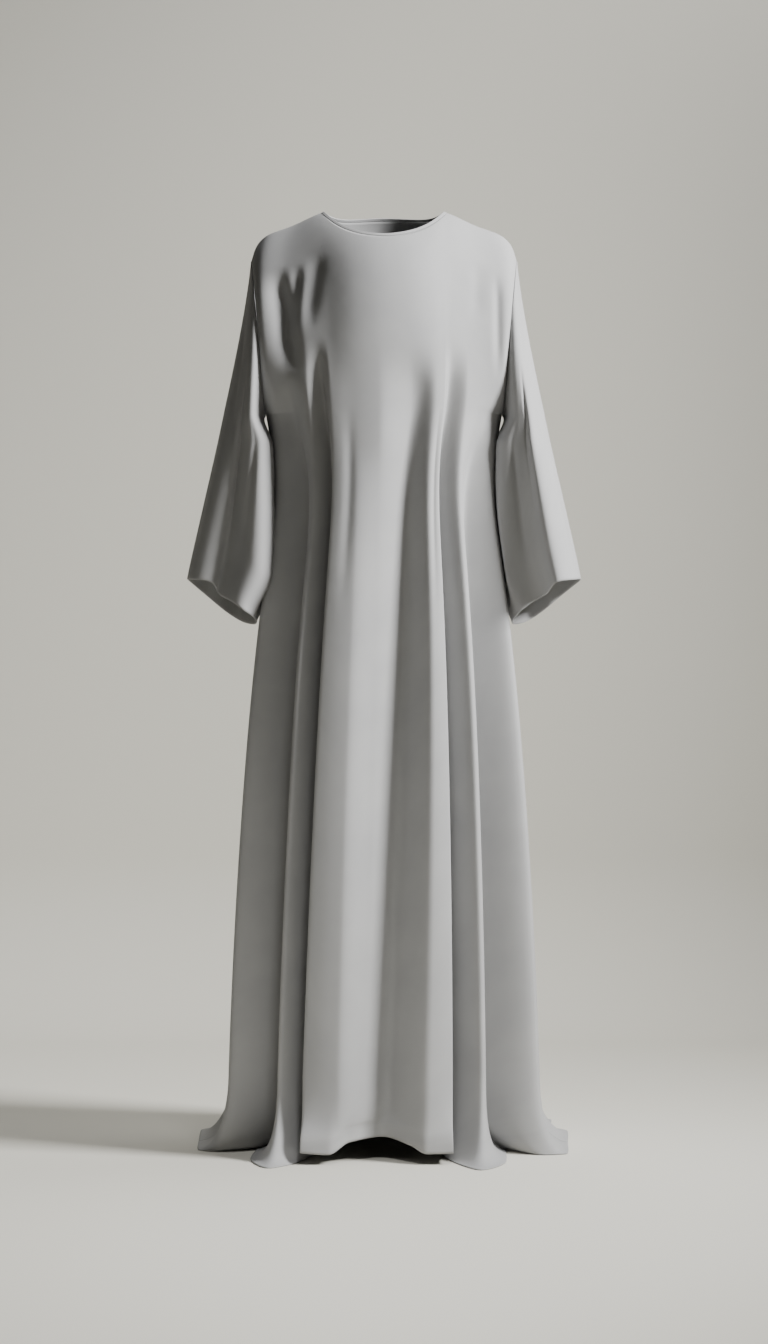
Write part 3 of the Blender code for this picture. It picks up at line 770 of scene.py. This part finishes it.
    def fold_depth(self, places: np.ndarray, heights: np.ndarray) -> np.ndarray:
        """How far folds and ripples take the cloth inwards.

        Args:
            places: Places round the body, one for each column.
            heights: Heights, with columns last.

        Returns:
            Depths in the shape of heights.
        """
        levels = np.linspace(-0.01, 1.46, 295)
        start = self.column("start")
        below = np.clip((start - levels[:, None]) / start, 0.0, 1.0)
        grown = self.column("depth") * 1.45 * below / (below + 0.45) * eased(below / 0.07)
        table = np.array([self.along_folds(row, places) for row in grown])
        for ripple in self.ripples:
            share = (ripple.top_height - levels) / (ripple.top_height - ripple.low_height)
            centre = ripple.top_turn + (ripple.low_turn - ripple.top_turn) * share
            apart = (places[None, :] - centre[:, None] + 180.0) % 360.0 - 180.0
            fade = eased(share / 0.3) * eased((1.0 - share) / 0.5)
            table += ripple.depth * fade[:, None] * np.exp(-((apart / ripple.half_width) ** 2))
        at = (heights - levels[0]) / (levels[1] - levels[0])
        i = np.clip(at.astype(int), 0, len(levels) - 2)
        rest = np.clip(at - i, 0.0, 1.0)
        j = np.broadcast_to(np.arange(len(places)), heights.shape)
        return table[i, j] * (1.0 - rest) + table[i + 1, j] * rest

    def ring(self, places: np.ndarray, heights: np.ndarray) -> tuple[np.ndarray, np.ndarray]:
        """The body's ring before any fold.

        Args:
            places: Places round the body, one for each column.
            heights: Heights, with columns last.

        Returns:
            Points and outward directions.
        """
        table = np.array(self.sections)
        level = np.clip(heights, table[0, 0], table[-1, 0])
        read = smooth_line(table[:, 0], table[:, 1:], level)
        down = 1.0 - level / self.underarm
        shift = self.along_folds(self.column("chest_turn") - self.column("hem_turn"), places)
        turn = np.radians(places + (1.0 - down) * shift)
        reach = np.where(np.cos(turn) > 0.0, read[..., 1], read[..., 2])
        middle = self.back_spread * down * down
        x = read[..., 0] * np.sin(turn)
        y = middle - reach * np.cos(turn)
        out = np.stack([np.sin(turn) / read[..., 0], -np.cos(turn) / reach, 0.0 * turn], -1)
        return np.stack([x, y, heights + 0.0 * x], -1), unit(out)

    def folded_ring(self, places: np.ndarray, heights: np.ndarray) -> np.ndarray:
        """The body's ring with its folds."""
        points, out = self.ring(places, heights)
        return points - out * self.fold_depth(places, heights)[..., None]

    def hem_line(self, places: np.ndarray) -> np.ndarray:
        """The hem's points at places round the body."""
        turns = np.array([point.turn for point in self.hem])
        columns = np.array([point[2:] for point in self.hem]).T
        return np.stack([level_line(turns, column, places, 360.0) for column in columns], -1)

    def hem_path(self, places: np.ndarray, shares: np.ndarray) -> np.ndarray:
        """Points of the skirt's last stretch, down to the hem.

        The cloth hangs, turns outwards and comes to rest at the hem: flat where the hem lies on
        the floor, and straight down where it hangs clear.

        Args:
            places: Places round the body.
            shares: Shares of the stretch's length, from its start down.

        Returns:
            Points, row by row.
        """
        start = self.folded_ring(places, np.full(places.shape, self.sweep_start))
        end = self.hem_line(places)
        away = np.linalg.norm((end - start)[:, :2], axis=1)
        hangs = eased((end[:, 2] - self.lowest) / self.clear_of_floor)[:, None]
        drop = np.maximum(self.sweep_drop - away / 2.0, self.sweep_upright)
        down = np.array([0.0, 0.0, -1.0])
        flat = np.array([self.sweep_flat, self.sweep_flat, 0.0])
        on_floor = end + (start - end) * flat - down * self.sweep_rise
        straight = end - down * self.sweep_upright
        arrive = on_floor * (1.0 - hangs) + straight * hangs
        return bezier(start, start + down * drop[:, None], arrive, end, shares[:, None, None])

    def armhole(self, share: np.ndarray) -> np.ndarray:
        """The right armhole's line: 0 at the shoulder tip, forwards and down to 0.5 under the arm."""
        turn = 2.0 * math.pi * np.asarray(share, float)
        upper = (1.0 + np.cos(turn)) / 2.0
        front, back = self.armhole_reach[Half.FRONT], self.armhole_reach[Half.BACK]
        reach = np.where(np.sin(turn) > 0.0, front, back)
        under = self.folded_ring(np.array([-90.0]), np.array([self.underarm]))[0]
        near_under = (1.0 - upper) ** 4
        x = self.armhole_middle + (self.shoulder_tip[0] - self.armhole_middle) * upper**2
        x = x - (under[0] + self.armhole_middle) * near_under
        y = under[1] * near_under - reach * np.sin(turn) * (1.0 - 0.15 * np.cos(turn))
        z = self.underarm + (self.shoulder_tip[1] - self.underarm) * upper
        return np.stack([-x, y, z], -1)

    def shoulder_line(self, across: np.ndarray, half: Half) -> np.ndarray:
        """Points of the line over the shoulders, from -1 at the right tip to 1 at the left."""
        table = np.array(self.shoulders)
        height = table[:, 2] if half is Half.FRONT else table[:, 3]
        knots = np.concatenate([-table[:0:-1, 0], table[:, 0]])
        x = np.concatenate([-table[:0:-1, 1], table[:, 1]])
        z = np.concatenate([height[:0:-1], height])
        read = smooth_line(knots, np.stack([x, z], -1), across)
        return np.stack([read[..., 0], 0.0 * across, read[..., 1]], -1)

    def yoke_handles(self, places: np.ndarray, half: Half) -> tuple[np.ndarray, ...]:
        """The four handles of the curves that run up the yoke from the underarm ring."""
        across = (places - half.value) / 90.0 * -half.outwards
        forward = half.outwards
        centred = np.cos(across * math.pi / 2.0) ** 2
        low = self.ring(places, np.full(places.shape, self.underarm))[0]
        below = self.ring(places, np.full(places.shape, self.underarm - self.yoke_rise / 10.0))[0]
        top = self.shoulder_line(across, half)
        nothing = 0.0 * centred
        low_handle = low + (low - below) * 10.0
        fullness = forward * (self.shoulder_fullness + self.neck_fullness * centred**2)
        high_handle = top + np.stack(
            [nothing, fullness, -self.neck_drop[half] * centred**3], -1
        )
        return low, low_handle, high_handle, top

    def neck_cut(self, places: np.ndarray, half: Half) -> np.ndarray:
        """How far up each of the yoke's curves the neck's edge cuts it off."""
        handles = self.yoke_handles(places, half)
        low, high = np.full(places.shape, 0.4), np.ones(places.shape)
        for _ in range(40):
            middle = (low + high) / 2.0
            point = bezier(*handles, middle[:, None])
            across = point[:, 0] / self.neck_half_width
            inside = across**2 + (point[:, 1] / self.neck_reach[half]) ** 2 < 1.0
            low, high = np.where(inside, low, middle), np.where(inside, middle, high)
        return low

    def yoke(self, places: np.ndarray, rises: np.ndarray, half: Half) -> np.ndarray:
        """Points of the yoke, at shares of the way from the underarm to the top edge.

        Args:
            places: Places round the body.
            rises: Shares of the way up.
            half: The half of the body.

        Returns:
            Points, row by row.
        """
        at = (rises[:, None] * self.neck_cut(places, half)[None, :])[..., None]
        points = bezier(*self.yoke_handles(places, half), at)
        ends = np.array([-90.0, 90.0] if half is Half.FRONT else [270.0, 90.0])
        columns = bezier(*self.yoke_handles(ends, half), rises[:, None, None])
        edge = self.armhole(0.5 * (1.0 - rises) if half is Half.FRONT else 0.5 * (1.0 + rises))
        for i, mirror in enumerate((1.0, -1.0)):
            near = eased(1.0 - np.abs(places - ends[i]) / self.armhole_blend)[None, :, None]
            moved = edge * np.array([mirror, 1.0, 1.0]) - columns[:, i]
            points = points + near * moved[:, None, :]
        out = self.ring(places, np.full(places.shape, self.underarm))[1]
        inside = eased(np.abs(places[:, None] - ends).min(axis=1) / 12.0)
        depth = self.fold_depth(places, points[..., 2]) * inside
        return self.press_creases(points - out * depth[..., None], half)

    def press_creases(self, points: np.ndarray, half: Half) -> np.ndarray:
        """Presses the yoke's soft troughs into points.

        Args:
            points: Points of the yoke.
            half: The half of the body that they lie on.

        Returns:
            The same points, moved.
        """
        for crease in (c for c in self.creases if c.half is half):
            top = np.array([crease.top_x, crease.top_height])
            run = np.array([crease.low_x, crease.low_height]) - top
            offset = points[..., [0, 2]] - top
            along = offset @ run / (run @ run)
            across = (offset[..., 0] * run[1] - offset[..., 1] * run[0]) / np.linalg.norm(run)
            across = -np.sign(crease.top_x) * across
            width = np.where(across > 0.0, crease.outer_width, crease.inner_width)
            fade = eased(along / 0.35) * eased((1.0 - along) / 0.5 + 0.5)
            shape = np.exp(-((across / width) ** 2))
            points[..., 1] -= half.outwards * crease.depth * fade * shape
        return points

    def corners(self, half: Half) -> list[float]:
        """The two places whose yoke curves end at the neck points."""
        across = next(row.across for row in self.shoulders if row.x == self.neck_half_width)
        return [half.value - 90.0 * across, half.value + 90.0 * across]


@dataclass
class BodyPanels:
    """The front and back panels.

    Attributes:
        body: The surface that they are cut from.
        gap: The seams' width.
        per_fold: Columns between two fold lines.
        yoke_rows: Rows over the yoke.
        skirt_rows: Rows down the skirt.
        hem_rows: Rows of the last stretch.
        thickness: The cloth's thickness.
    """

    body: Body
    gap: float = 0.0005
    per_fold: int = 14
    yoke_rows: int = 60
    skirt_rows: int = 60
    hem_rows: int = 34
    thickness: float = 0.0014

    def places(self, first: int, last: int, half: Half) -> np.ndarray:
        """Column places between two fold lines, with the neck points among them."""
        knots = self.body.column("hem_turn")
        knots = np.append(knots, knots[0] + 360.0)
        columns = [
            np.linspace(knots[i], knots[i + 1], self.per_fold, endpoint=False)
            for i in range(first, last)
        ]
        columns = np.append(np.concatenate(columns), knots[last])
        corners = self.body.corners(half)
        apart = np.abs(columns[:, None] - np.array(corners)).min(axis=1)
        return np.sort(np.append(columns[apart > 0.35], corners))

    def rows(self, places: np.ndarray, half: Half) -> np.ndarray:
        """All rows of a panel from its top edge to the hem."""
        rises = np.linspace(1.0, 0.0, self.yoke_rows, endpoint=False)
        levels = np.linspace(self.body.underarm, self.body.sweep_start, self.skirt_rows)[:-1]
        heights = np.repeat(levels[:, None], len(places), axis=1)
        shares = np.linspace(0.0, 1.0, self.hem_rows)
        return np.concatenate(
            [
                self.body.yoke(places, rises, half),
                self.body.folded_ring(places, heights),
                self.body.hem_path(places, shares),
            ]
        )

    def draw_in(self, rows: np.ndarray) -> np.ndarray:
        """Draws a panel's seam edges in by half the seams' width, along the cloth."""
        rows = rows.copy()
        rows[:, 0] += unit(rows[:, 1] - rows[:, 0]) * self.gap / 2.0
        rows[:, -1] += unit(rows[:, -2] - rows[:, -1]) * self.gap / 2.0
        rows[0] += unit(rows[1] - rows[0]) * self.gap / 2.0
        return rows

    def build(self, material: bpy.types.Material) -> tuple[np.ndarray, np.ndarray]:
        """Makes both panels.

        Args:
            material: The cloth's finish.

        Returns:
            The column places of the front and of the back.
        """
        split = next(i for i, f in enumerate(self.body.folds) if f.name == "left_side_seam")
        made = []
        cuts = (
            ("front_panel_cloth", "front_panel", Half.FRONT, (0, split), (1.20, 1.54), 1.15),
            ("back_panel_cloth", "back_panel", Half.BACK, (split, len(self.body.folds)), (1.06, 1.56), 1.08),
        )
        for name, node, half, (first, last), flat, area in cuts:
            places = self.places(first, last, half)
            rows = self.draw_in(self.rows(places, half))
            piece = Piece(
                name, node, "crepe", self.thickness, flat, area, Hold.DRAPED, ("neck_binding_cloth",)
            )
            piece.sew(rows, material, self.body.neck_height)
            made.append(places)
        return made[0], made[1]


@dataclass
class NeckBinding:
    """The narrow folded strip that finishes the neck.

    Attributes:
        body: The surface that it runs on from.
        width: How far it stands beyond the panels.
        gap: The seam's width.
        thickness: The folded cloth's thickness.
        shoulder_slope: How steeply the cloth climbs towards the neck at the shoulders.
    """

    body: Body
    width: float = 0.005
    gap: float = 0.0005
    thickness: float = 0.0022
    shoulder_slope: float = 0.45

    def edge(self, places: np.ndarray, half: Half) -> tuple[np.ndarray, np.ndarray]:
        """The neck's edge, with the way that the cloth would run on from it."""
        edge = self.body.yoke(places, np.array([1.0]), half)[0]
        below = self.body.yoke(places, np.array([0.98]), half)[0]
        size = np.array([self.body.neck_half_width, self.body.neck_reach[half]])
        inner = unit(-edge[:, :2] / size**2)
        steep = (edge[:, 2] - below[:, 2]) / np.abs(edge[:, 1] - below[:, 1])
        rise = np.abs(inner[:, 0]) * self.shoulder_slope + np.abs(inner[:, 1]) * steep
        return edge, unit(np.column_stack([inner, rise]))

    def build(self, panels: tuple[np.ndarray, np.ndarray], material: bpy.types.Material) -> None:
        """Makes the strip.

        Args:
            panels: The column places of the front and of the back.
            material: The cloth's finish.
        """
        edges, ways = [], []
        for half, places in zip((Half.FRONT, Half.BACK), panels):
            first, last = self.body.corners(half)
            edge, way = self.edge(places[(places >= first) & (places <= last)], half)
            edges.append(edge[:-1])
            ways.append(way[:-1])
        edge, way = np.concatenate(edges), np.concatenate(ways)
        shares = np.linspace(1.0, 0.0, 7)
        rows = np.array([edge + way * (self.gap / 2.0 + self.width * share) for share in shares])
        piece = Piece(
            "neck_binding_cloth", "neck_binding", "binding", self.thickness,
            (0.60, 0.010), 0.0050, Hold.HUNG, ("front_panel_cloth", "back_panel_cloth"),
        )
        made = piece.sew(rows, material, self.body.neck_height, closed=True, edge_last=False)
        rim = made.modifiers.new("soft edges", "BEVEL")
        rim.width = 0.0008
        rim.segments = 3
        rim.limit_method = "ANGLE"


@dataclass
class Sleeves:
    """The two wide sleeves.

    Attributes:
        body: The body that they hang beside.
        gap: The armhole seam's width.
        underarm_gap: What that seam gains towards the underarm.
        clearance: How far a sleeve stays from the body's side.
        bow: How far the inner side hangs towards the body.
        thickness: The cloth's thickness.
        columns: Columns round a sleeve.
        rows: Rows along it.
        cuff_right: The right sleeve's fold lines from the armhole to the cuff.
        cuff_left: The left sleeve's fold lines.
        creases: Soft troughs between them.
    """

    body: Body
    gap: float = 0.0008
    underarm_gap: float = 0.0014
    clearance: float = 0.006
    bow: float = 0.022
    thickness: float = 0.0014
    columns: int = 208
    rows: int = 110
    cuff_right: tuple[CuffPoint, ...] = (
        CuffPoint("outer", 0.000, 0.2998, 0.002, 0.8715),
        CuffPoint("front_outer", 0.080, 0.287, -0.050, 0.8695),
        CuffPoint("front_lip", 0.160, 0.259, -0.056, 0.864),
        CuffPoint("front_trough", 0.220, 0.2515, -0.048, 0.8505),
        CuffPoint("front_inner", 0.310, 0.231, -0.080, 0.837),
        CuffPoint("inner_ridge", 0.390, 0.209, -0.090, 0.8215),
        CuffPoint("inner_front", 0.460, 0.1965, -0.052, 0.812),
        CuffPoint("inner", 0.530, 0.196, 0.018, 0.8045),
        CuffPoint("inner_back", 0.610, 0.211, 0.076, 0.805),
        CuffPoint("back_ridge", 0.710, 0.233, 0.102, 0.815),
        CuffPoint("back_trough", 0.810, 0.257, 0.080, 0.833),
        CuffPoint("back_outer", 0.910, 0.285, 0.066, 0.857),
    )
    cuff_left: tuple[CuffPoint, ...] = (
        CuffPoint("outer", 0.000, 0.2998, -0.004, 0.8705),
        CuffPoint("front_outer", 0.080, 0.286, -0.070, 0.869),
        CuffPoint("front_lip", 0.170, 0.2565, -0.094, 0.863),
        CuffPoint("front_trough", 0.240, 0.2475, -0.062, 0.850),
        CuffPoint("front_inner", 0.330, 0.226, -0.046, 0.836),
        CuffPoint("inner_front", 0.420, 0.202, -0.042, 0.817),
        CuffPoint("inner", 0.510, 0.1965, 0.016, 0.805),
        CuffPoint("inner_back", 0.600, 0.211, 0.076, 0.805),
        CuffPoint("back_ridge", 0.700, 0.233, 0.100, 0.815),
        CuffPoint("back_trough", 0.800, 0.257, 0.082, 0.833),
        CuffPoint("back_outer", 0.900, 0.284, 0.068, 0.856),
    )
    creases: tuple[SleeveCrease, ...] = (
        SleeveCrease(0.10, 0.10, 0.13, 0.62, 0.022, 0.0035),
        SleeveCrease(0.20, 0.22, 0.22, 0.85, 0.020, 0.0040),
        SleeveCrease(0.31, 0.30, 0.30, 0.92, 0.020, 0.0035),
        SleeveCrease(0.03, 0.45, 0.04, 0.97, 0.022, 0.0025),
        SleeveCrease(0.76, 0.18, 0.75, 0.80, 0.022, 0.0040),
        SleeveCrease(0.86, 0.30, 0.86, 0.95, 0.024, 0.0035),
        SleeveCrease(0.94, 0.12, 0.95, 0.55, 0.020, 0.0025),
    )

    def body_side(self, heights: np.ndarray, reaches: np.ndarray, side: Side) -> np.ndarray:
        """How far out the body's side lies, with the sleeve's clearance, on a grid."""
        near = side.value * np.arange(30.0, 150.0, 1.0)
        near = near if side is Side.LEFT else near % 360.0
        grid = np.empty((len(heights), len(reaches)))
        for row, height in zip(grid, heights):
            points = self.body.folded_ring(near, np.full(near.shape, height))
            apart = (points[:, 1] - reaches[:, None]) / self.clearance
            outer = side.value * points[:, 0]
            outer = outer + self.clearance * np.sqrt(np.maximum(1.0 - apart**2, 0.0))
            row[:] = np.where(np.abs(apart) < 1.0, outer, 0.0).max(axis=1)
        return grid

    def clear_of_body(self, rings: np.ndarray, side: Side) -> np.ndarray:
        """Moves a sleeve's points outwards until they lie clear of the body's side.

        Args:
            rings: The sleeve's points.
            side: The sleeve's side.

        Returns:
            The same points, moved.
        """
        heights = np.linspace(0.76, self.body.underarm, 37)
        reaches = np.linspace(-0.13, 0.15, 57)
        grid = self.body_side(heights, reaches, side)
        row = np.interp(rings[..., 2], heights, np.arange(len(heights), dtype=float))
        column = np.interp(rings[..., 1], reaches, np.arange(len(reaches), dtype=float))
        i = np.minimum(row.astype(int), len(heights) - 2)
        j = np.minimum(column.astype(int), len(reaches) - 2)
        u, v = row - i, column - j
        limit = (1 - u) * ((1 - v) * grid[i, j] + v * grid[i, j + 1])
        limit += u * ((1 - v) * grid[i + 1, j] + v * grid[i + 1, j + 1])
        below = eased((self.body.underarm - rings[..., 2]) / 0.03)
        limit -= (1.0 - below) * self.clearance * 0.6
        rings[..., 0] = side.value * np.maximum(side.value * rings[..., 0], limit)
        return rings

    def press(self, rings: np.ndarray, shares: np.ndarray, lengths: np.ndarray) -> np.ndarray:
        """Presses the sleeve's soft troughs towards its middle."""
        centre = rings.mean(axis=1, keepdims=True)
        inwards = unit((centre - rings) * np.array([1.0, 1.0, 0.0]))
        depth = np.zeros(rings.shape[:2])
        for crease in self.creases:
            run = crease.low_along - crease.top_along
            share = (lengths - crease.top_along) / run
            middle = crease.top_round + (crease.low_round - crease.top_round) * share
            apart = (shares[None, :] - middle[:, None] + 0.5) % 1.0 - 0.5
            fade = eased(share / 0.35) * eased((1.0 - share) / 0.35)
            depth += crease.depth * fade[:, None] * np.exp(-((apart / crease.half_width) ** 2))
        return rings + inwards * depth[..., None]

    def rings(self, side: Side) -> np.ndarray:
        """A sleeve's rings from the armhole to the cuff."""
        shares = np.arange(self.columns) / self.columns
        lengths = np.linspace(0.0, 1.0, self.rows)
        cuff = self.cuff_right if side is Side.RIGHT else self.cuff_left
        table = np.array([point[1:] for point in cuff])
        start = self.body.armhole(shares)
        end = smooth_line(table[:, 0], table[:, 1:], shares, period=1.0)
        end = end * np.array([-1.0, 1.0, 1.0])
        turn = 2.0 * math.pi * shares
        upper = ((1.0 + np.cos(turn)) / 2.0)[:, None]
        sideways = np.array([-1.0, 0.0, 0.0])
        down = np.array([0.0, 0.0, -1.0])
        outwards = np.stack([0.0 * turn, -np.sin(turn), 0.0 * turn], -1)
        leave = sideways * 0.012 + down * 0.13 * upper + outwards * 0.037
        arrive = np.array([-0.19, 0.0, -0.98]) * 0.12
        begin = start + sideways * (self.gap + self.underarm_gap * (1.0 - upper))
        rings = bezier(begin, begin + leave, end - arrive, end, lengths[:, None, None])
        hanging = eased((self.body.underarm - rings[..., 2:]) / 0.05)
        hanging = hanging * eased(6.0 * (1.0 - lengths))[:, None, None]
        rings = rings - sideways * self.bow * hanging * (1.0 - upper) ** 2
        rings = self.press(rings, shares, lengths)
        rings = rings * np.array([-side.value, 1.0, 1.0])
        rings[1:] = self.clear_of_body(rings[1:], side)
        return rings

    def build(self, material: bpy.types.Material) -> None:
        """Makes both sleeves.

        Args:
            material: The cloth's finish.
        """
        for side, word in ((Side.RIGHT, "right"), (Side.LEFT, "left")):
            rings = self.rings(side)
            rings = rings[:, ::-1] if side is Side.RIGHT else rings
            panel = ("front_panel_cloth", "back_panel_cloth")
            piece = Piece(
                f"sleeve_{word}_cloth", f"sleeve_{word}", "crepe", self.thickness,
                (0.54, 0.54), 0.187, Hold.HUNG, panel,
            )
            piece.sew(rings, material, self.body.neck_height, closed=True)


@dataclass
class Studio:
    """A pale sweep, soft light from the right, and the camera in front.

    Attributes:
        floor: Height of the floor in the frame.
        wall: How far behind the garment the wall stands.
        cove: Radius of the curve between floor and wall.
        half_width: Half the sweep's width.
        near: How far in front of the garment the floor starts.
        top: Height of the wall.
        camera_distance: How far in front the camera stands.
        camera_height: Its height above the floor.
        fill: Strength of the light from all round.
        beyond: Brightness of what the camera sees past the sweep.
        lens: Its focal length in millimetres on a sensor 36 mm wide.
    """

    floor: float = -1.434
    wall: float = 1.75
    cove: float = 0.35
    half_width: float = 3.2
    near: float = 3.4
    top: float = 3.2
    camera_distance: float = 4.845
    camera_height: float = 0.73
    fill: float = 0.035
    beyond: float = 0.42
    lens: float = 85.0

    def build(self) -> None:
        """Makes the sweep, the lights and the camera."""
        self.sweep()
        self.light("key", (2.55, -1.20, 1.05), (0.05, 0.0, -0.35), 0.8, 50.0, 70.0)
        self.light("backdrop", (0.75, 0.55, 1.9), (0.15, 1.75, -0.5), 1.3, 27.0, 130.0)
        self.light("floor wash", (0.35, -2.2, 1.7), (0.10, -1.5, -1.43), 0.6, 14.0, 62.0)
        self.air()
        self.camera()

    def air(self) -> None:
        """A very weak fill light, which the camera sees as plain grey beyond the sweep."""
        world = bpy.data.worlds.new("studio air")
        world.use_nodes = True
        tree = world.node_tree
        fill = tree.nodes["Background"]
        fill.inputs["Color"].default_value = (0.86, 0.85, 0.82, 1.0)
        fill.inputs["Strength"].default_value = self.fill
        seen = tree.nodes.new("ShaderNodeBackground")
        seen.inputs["Color"].default_value = (0.86, 0.85, 0.82, 1.0)
        seen.inputs["Strength"].default_value = self.beyond
        rays = tree.nodes.new("ShaderNodeLightPath")
        either = tree.nodes.new("ShaderNodeMixShader")
        tree.links.new(rays.outputs["Is Camera Ray"], either.inputs[0])
        tree.links.new(fill.outputs[0], either.inputs[1])
        tree.links.new(seen.outputs[0], either.inputs[2])
        tree.links.new(either.outputs[0], tree.nodes["World Output"].inputs["Surface"])
        bpy.context.scene.world = world

    def sweep(self) -> None:
        """The floor that curves up into the wall."""
        profile = [(-self.near, 0.0), (self.wall - self.cove, 0.0)]
        steps = 24
        for i in range(1, steps + 1):
            turn = math.pi / 2.0 * i / steps
            profile.append(
                (
                    self.wall - self.cove + self.cove * math.sin(turn),
                    self.cove * (1.0 - math.cos(turn)),
                )
            )
        profile.append((self.wall, self.top))
        sheet = bmesh.new()
        edges = [
            [sheet.verts.new((x, y, z + self.floor)) for y, z in profile]
            for x in (-self.half_width, self.half_width)
        ]
        for i in range(len(profile) - 1):
            sheet.faces.new((edges[0][i], edges[1][i], edges[1][i + 1], edges[0][i + 1]))
        mesh = bpy.data.meshes.new("sweep")
        sheet.to_mesh(mesh)
        sheet.free()
        mesh.shade_smooth()
        mesh.materials.append(PaperFinish().make())
        sweep = bpy.data.objects.new("sweep", mesh)
        bpy.context.scene.collection.objects.link(sweep)

    def light(
        self,
        name: str,
        place: Colour,
        target: Colour,
        size: float,
        power: float,
        spread: float,
    ) -> None:
        """One soft light.

        Args:
            name: The light's name.
            place: Where it stands.
            target: What it points at.
            size: Its width.
            power: Its power in watts.
            spread: The angle of its beam in degrees.
        """
        lamp = bpy.data.objects.new(name, bpy.data.lights.new(name, "AREA"))
        bpy.context.scene.collection.objects.link(lamp)
        lamp.data.size = size
        lamp.data.energy = power
        lamp.data.spread = math.radians(spread)
        lamp.location = place
        way = Vector(target) - Vector(place)
        lamp.rotation_euler = way.to_track_quat("-Z", "Y").to_euler()

    def camera(self) -> None:
        """The camera, level, straight in front."""
        camera = bpy.data.objects.new("camera", bpy.data.cameras.new("camera"))
        bpy.context.scene.collection.objects.link(camera)
        camera.data.lens = self.lens
        camera.data.sensor_width = 36.0
        camera.location = (0.0, -self.camera_distance, self.camera_height + self.floor)
        camera.rotation_euler = (math.pi / 2.0, 0.0, 0.0)
        bpy.context.scene.camera = camera


def main() -> None:
    """Builds the garment and the studio round it."""
    logging.basicConfig(level=logging.INFO, format="%(name)s: %(message)s")
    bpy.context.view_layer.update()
    body = Body()
    crepe = CrepeFinish().make()
    panels = BodyPanels(body).build(crepe)
    NeckBinding(body).build(panels, crepe)
    Sleeves(body).build(crepe)
    Studio().build()


if __name__ == "__main__":
    main()
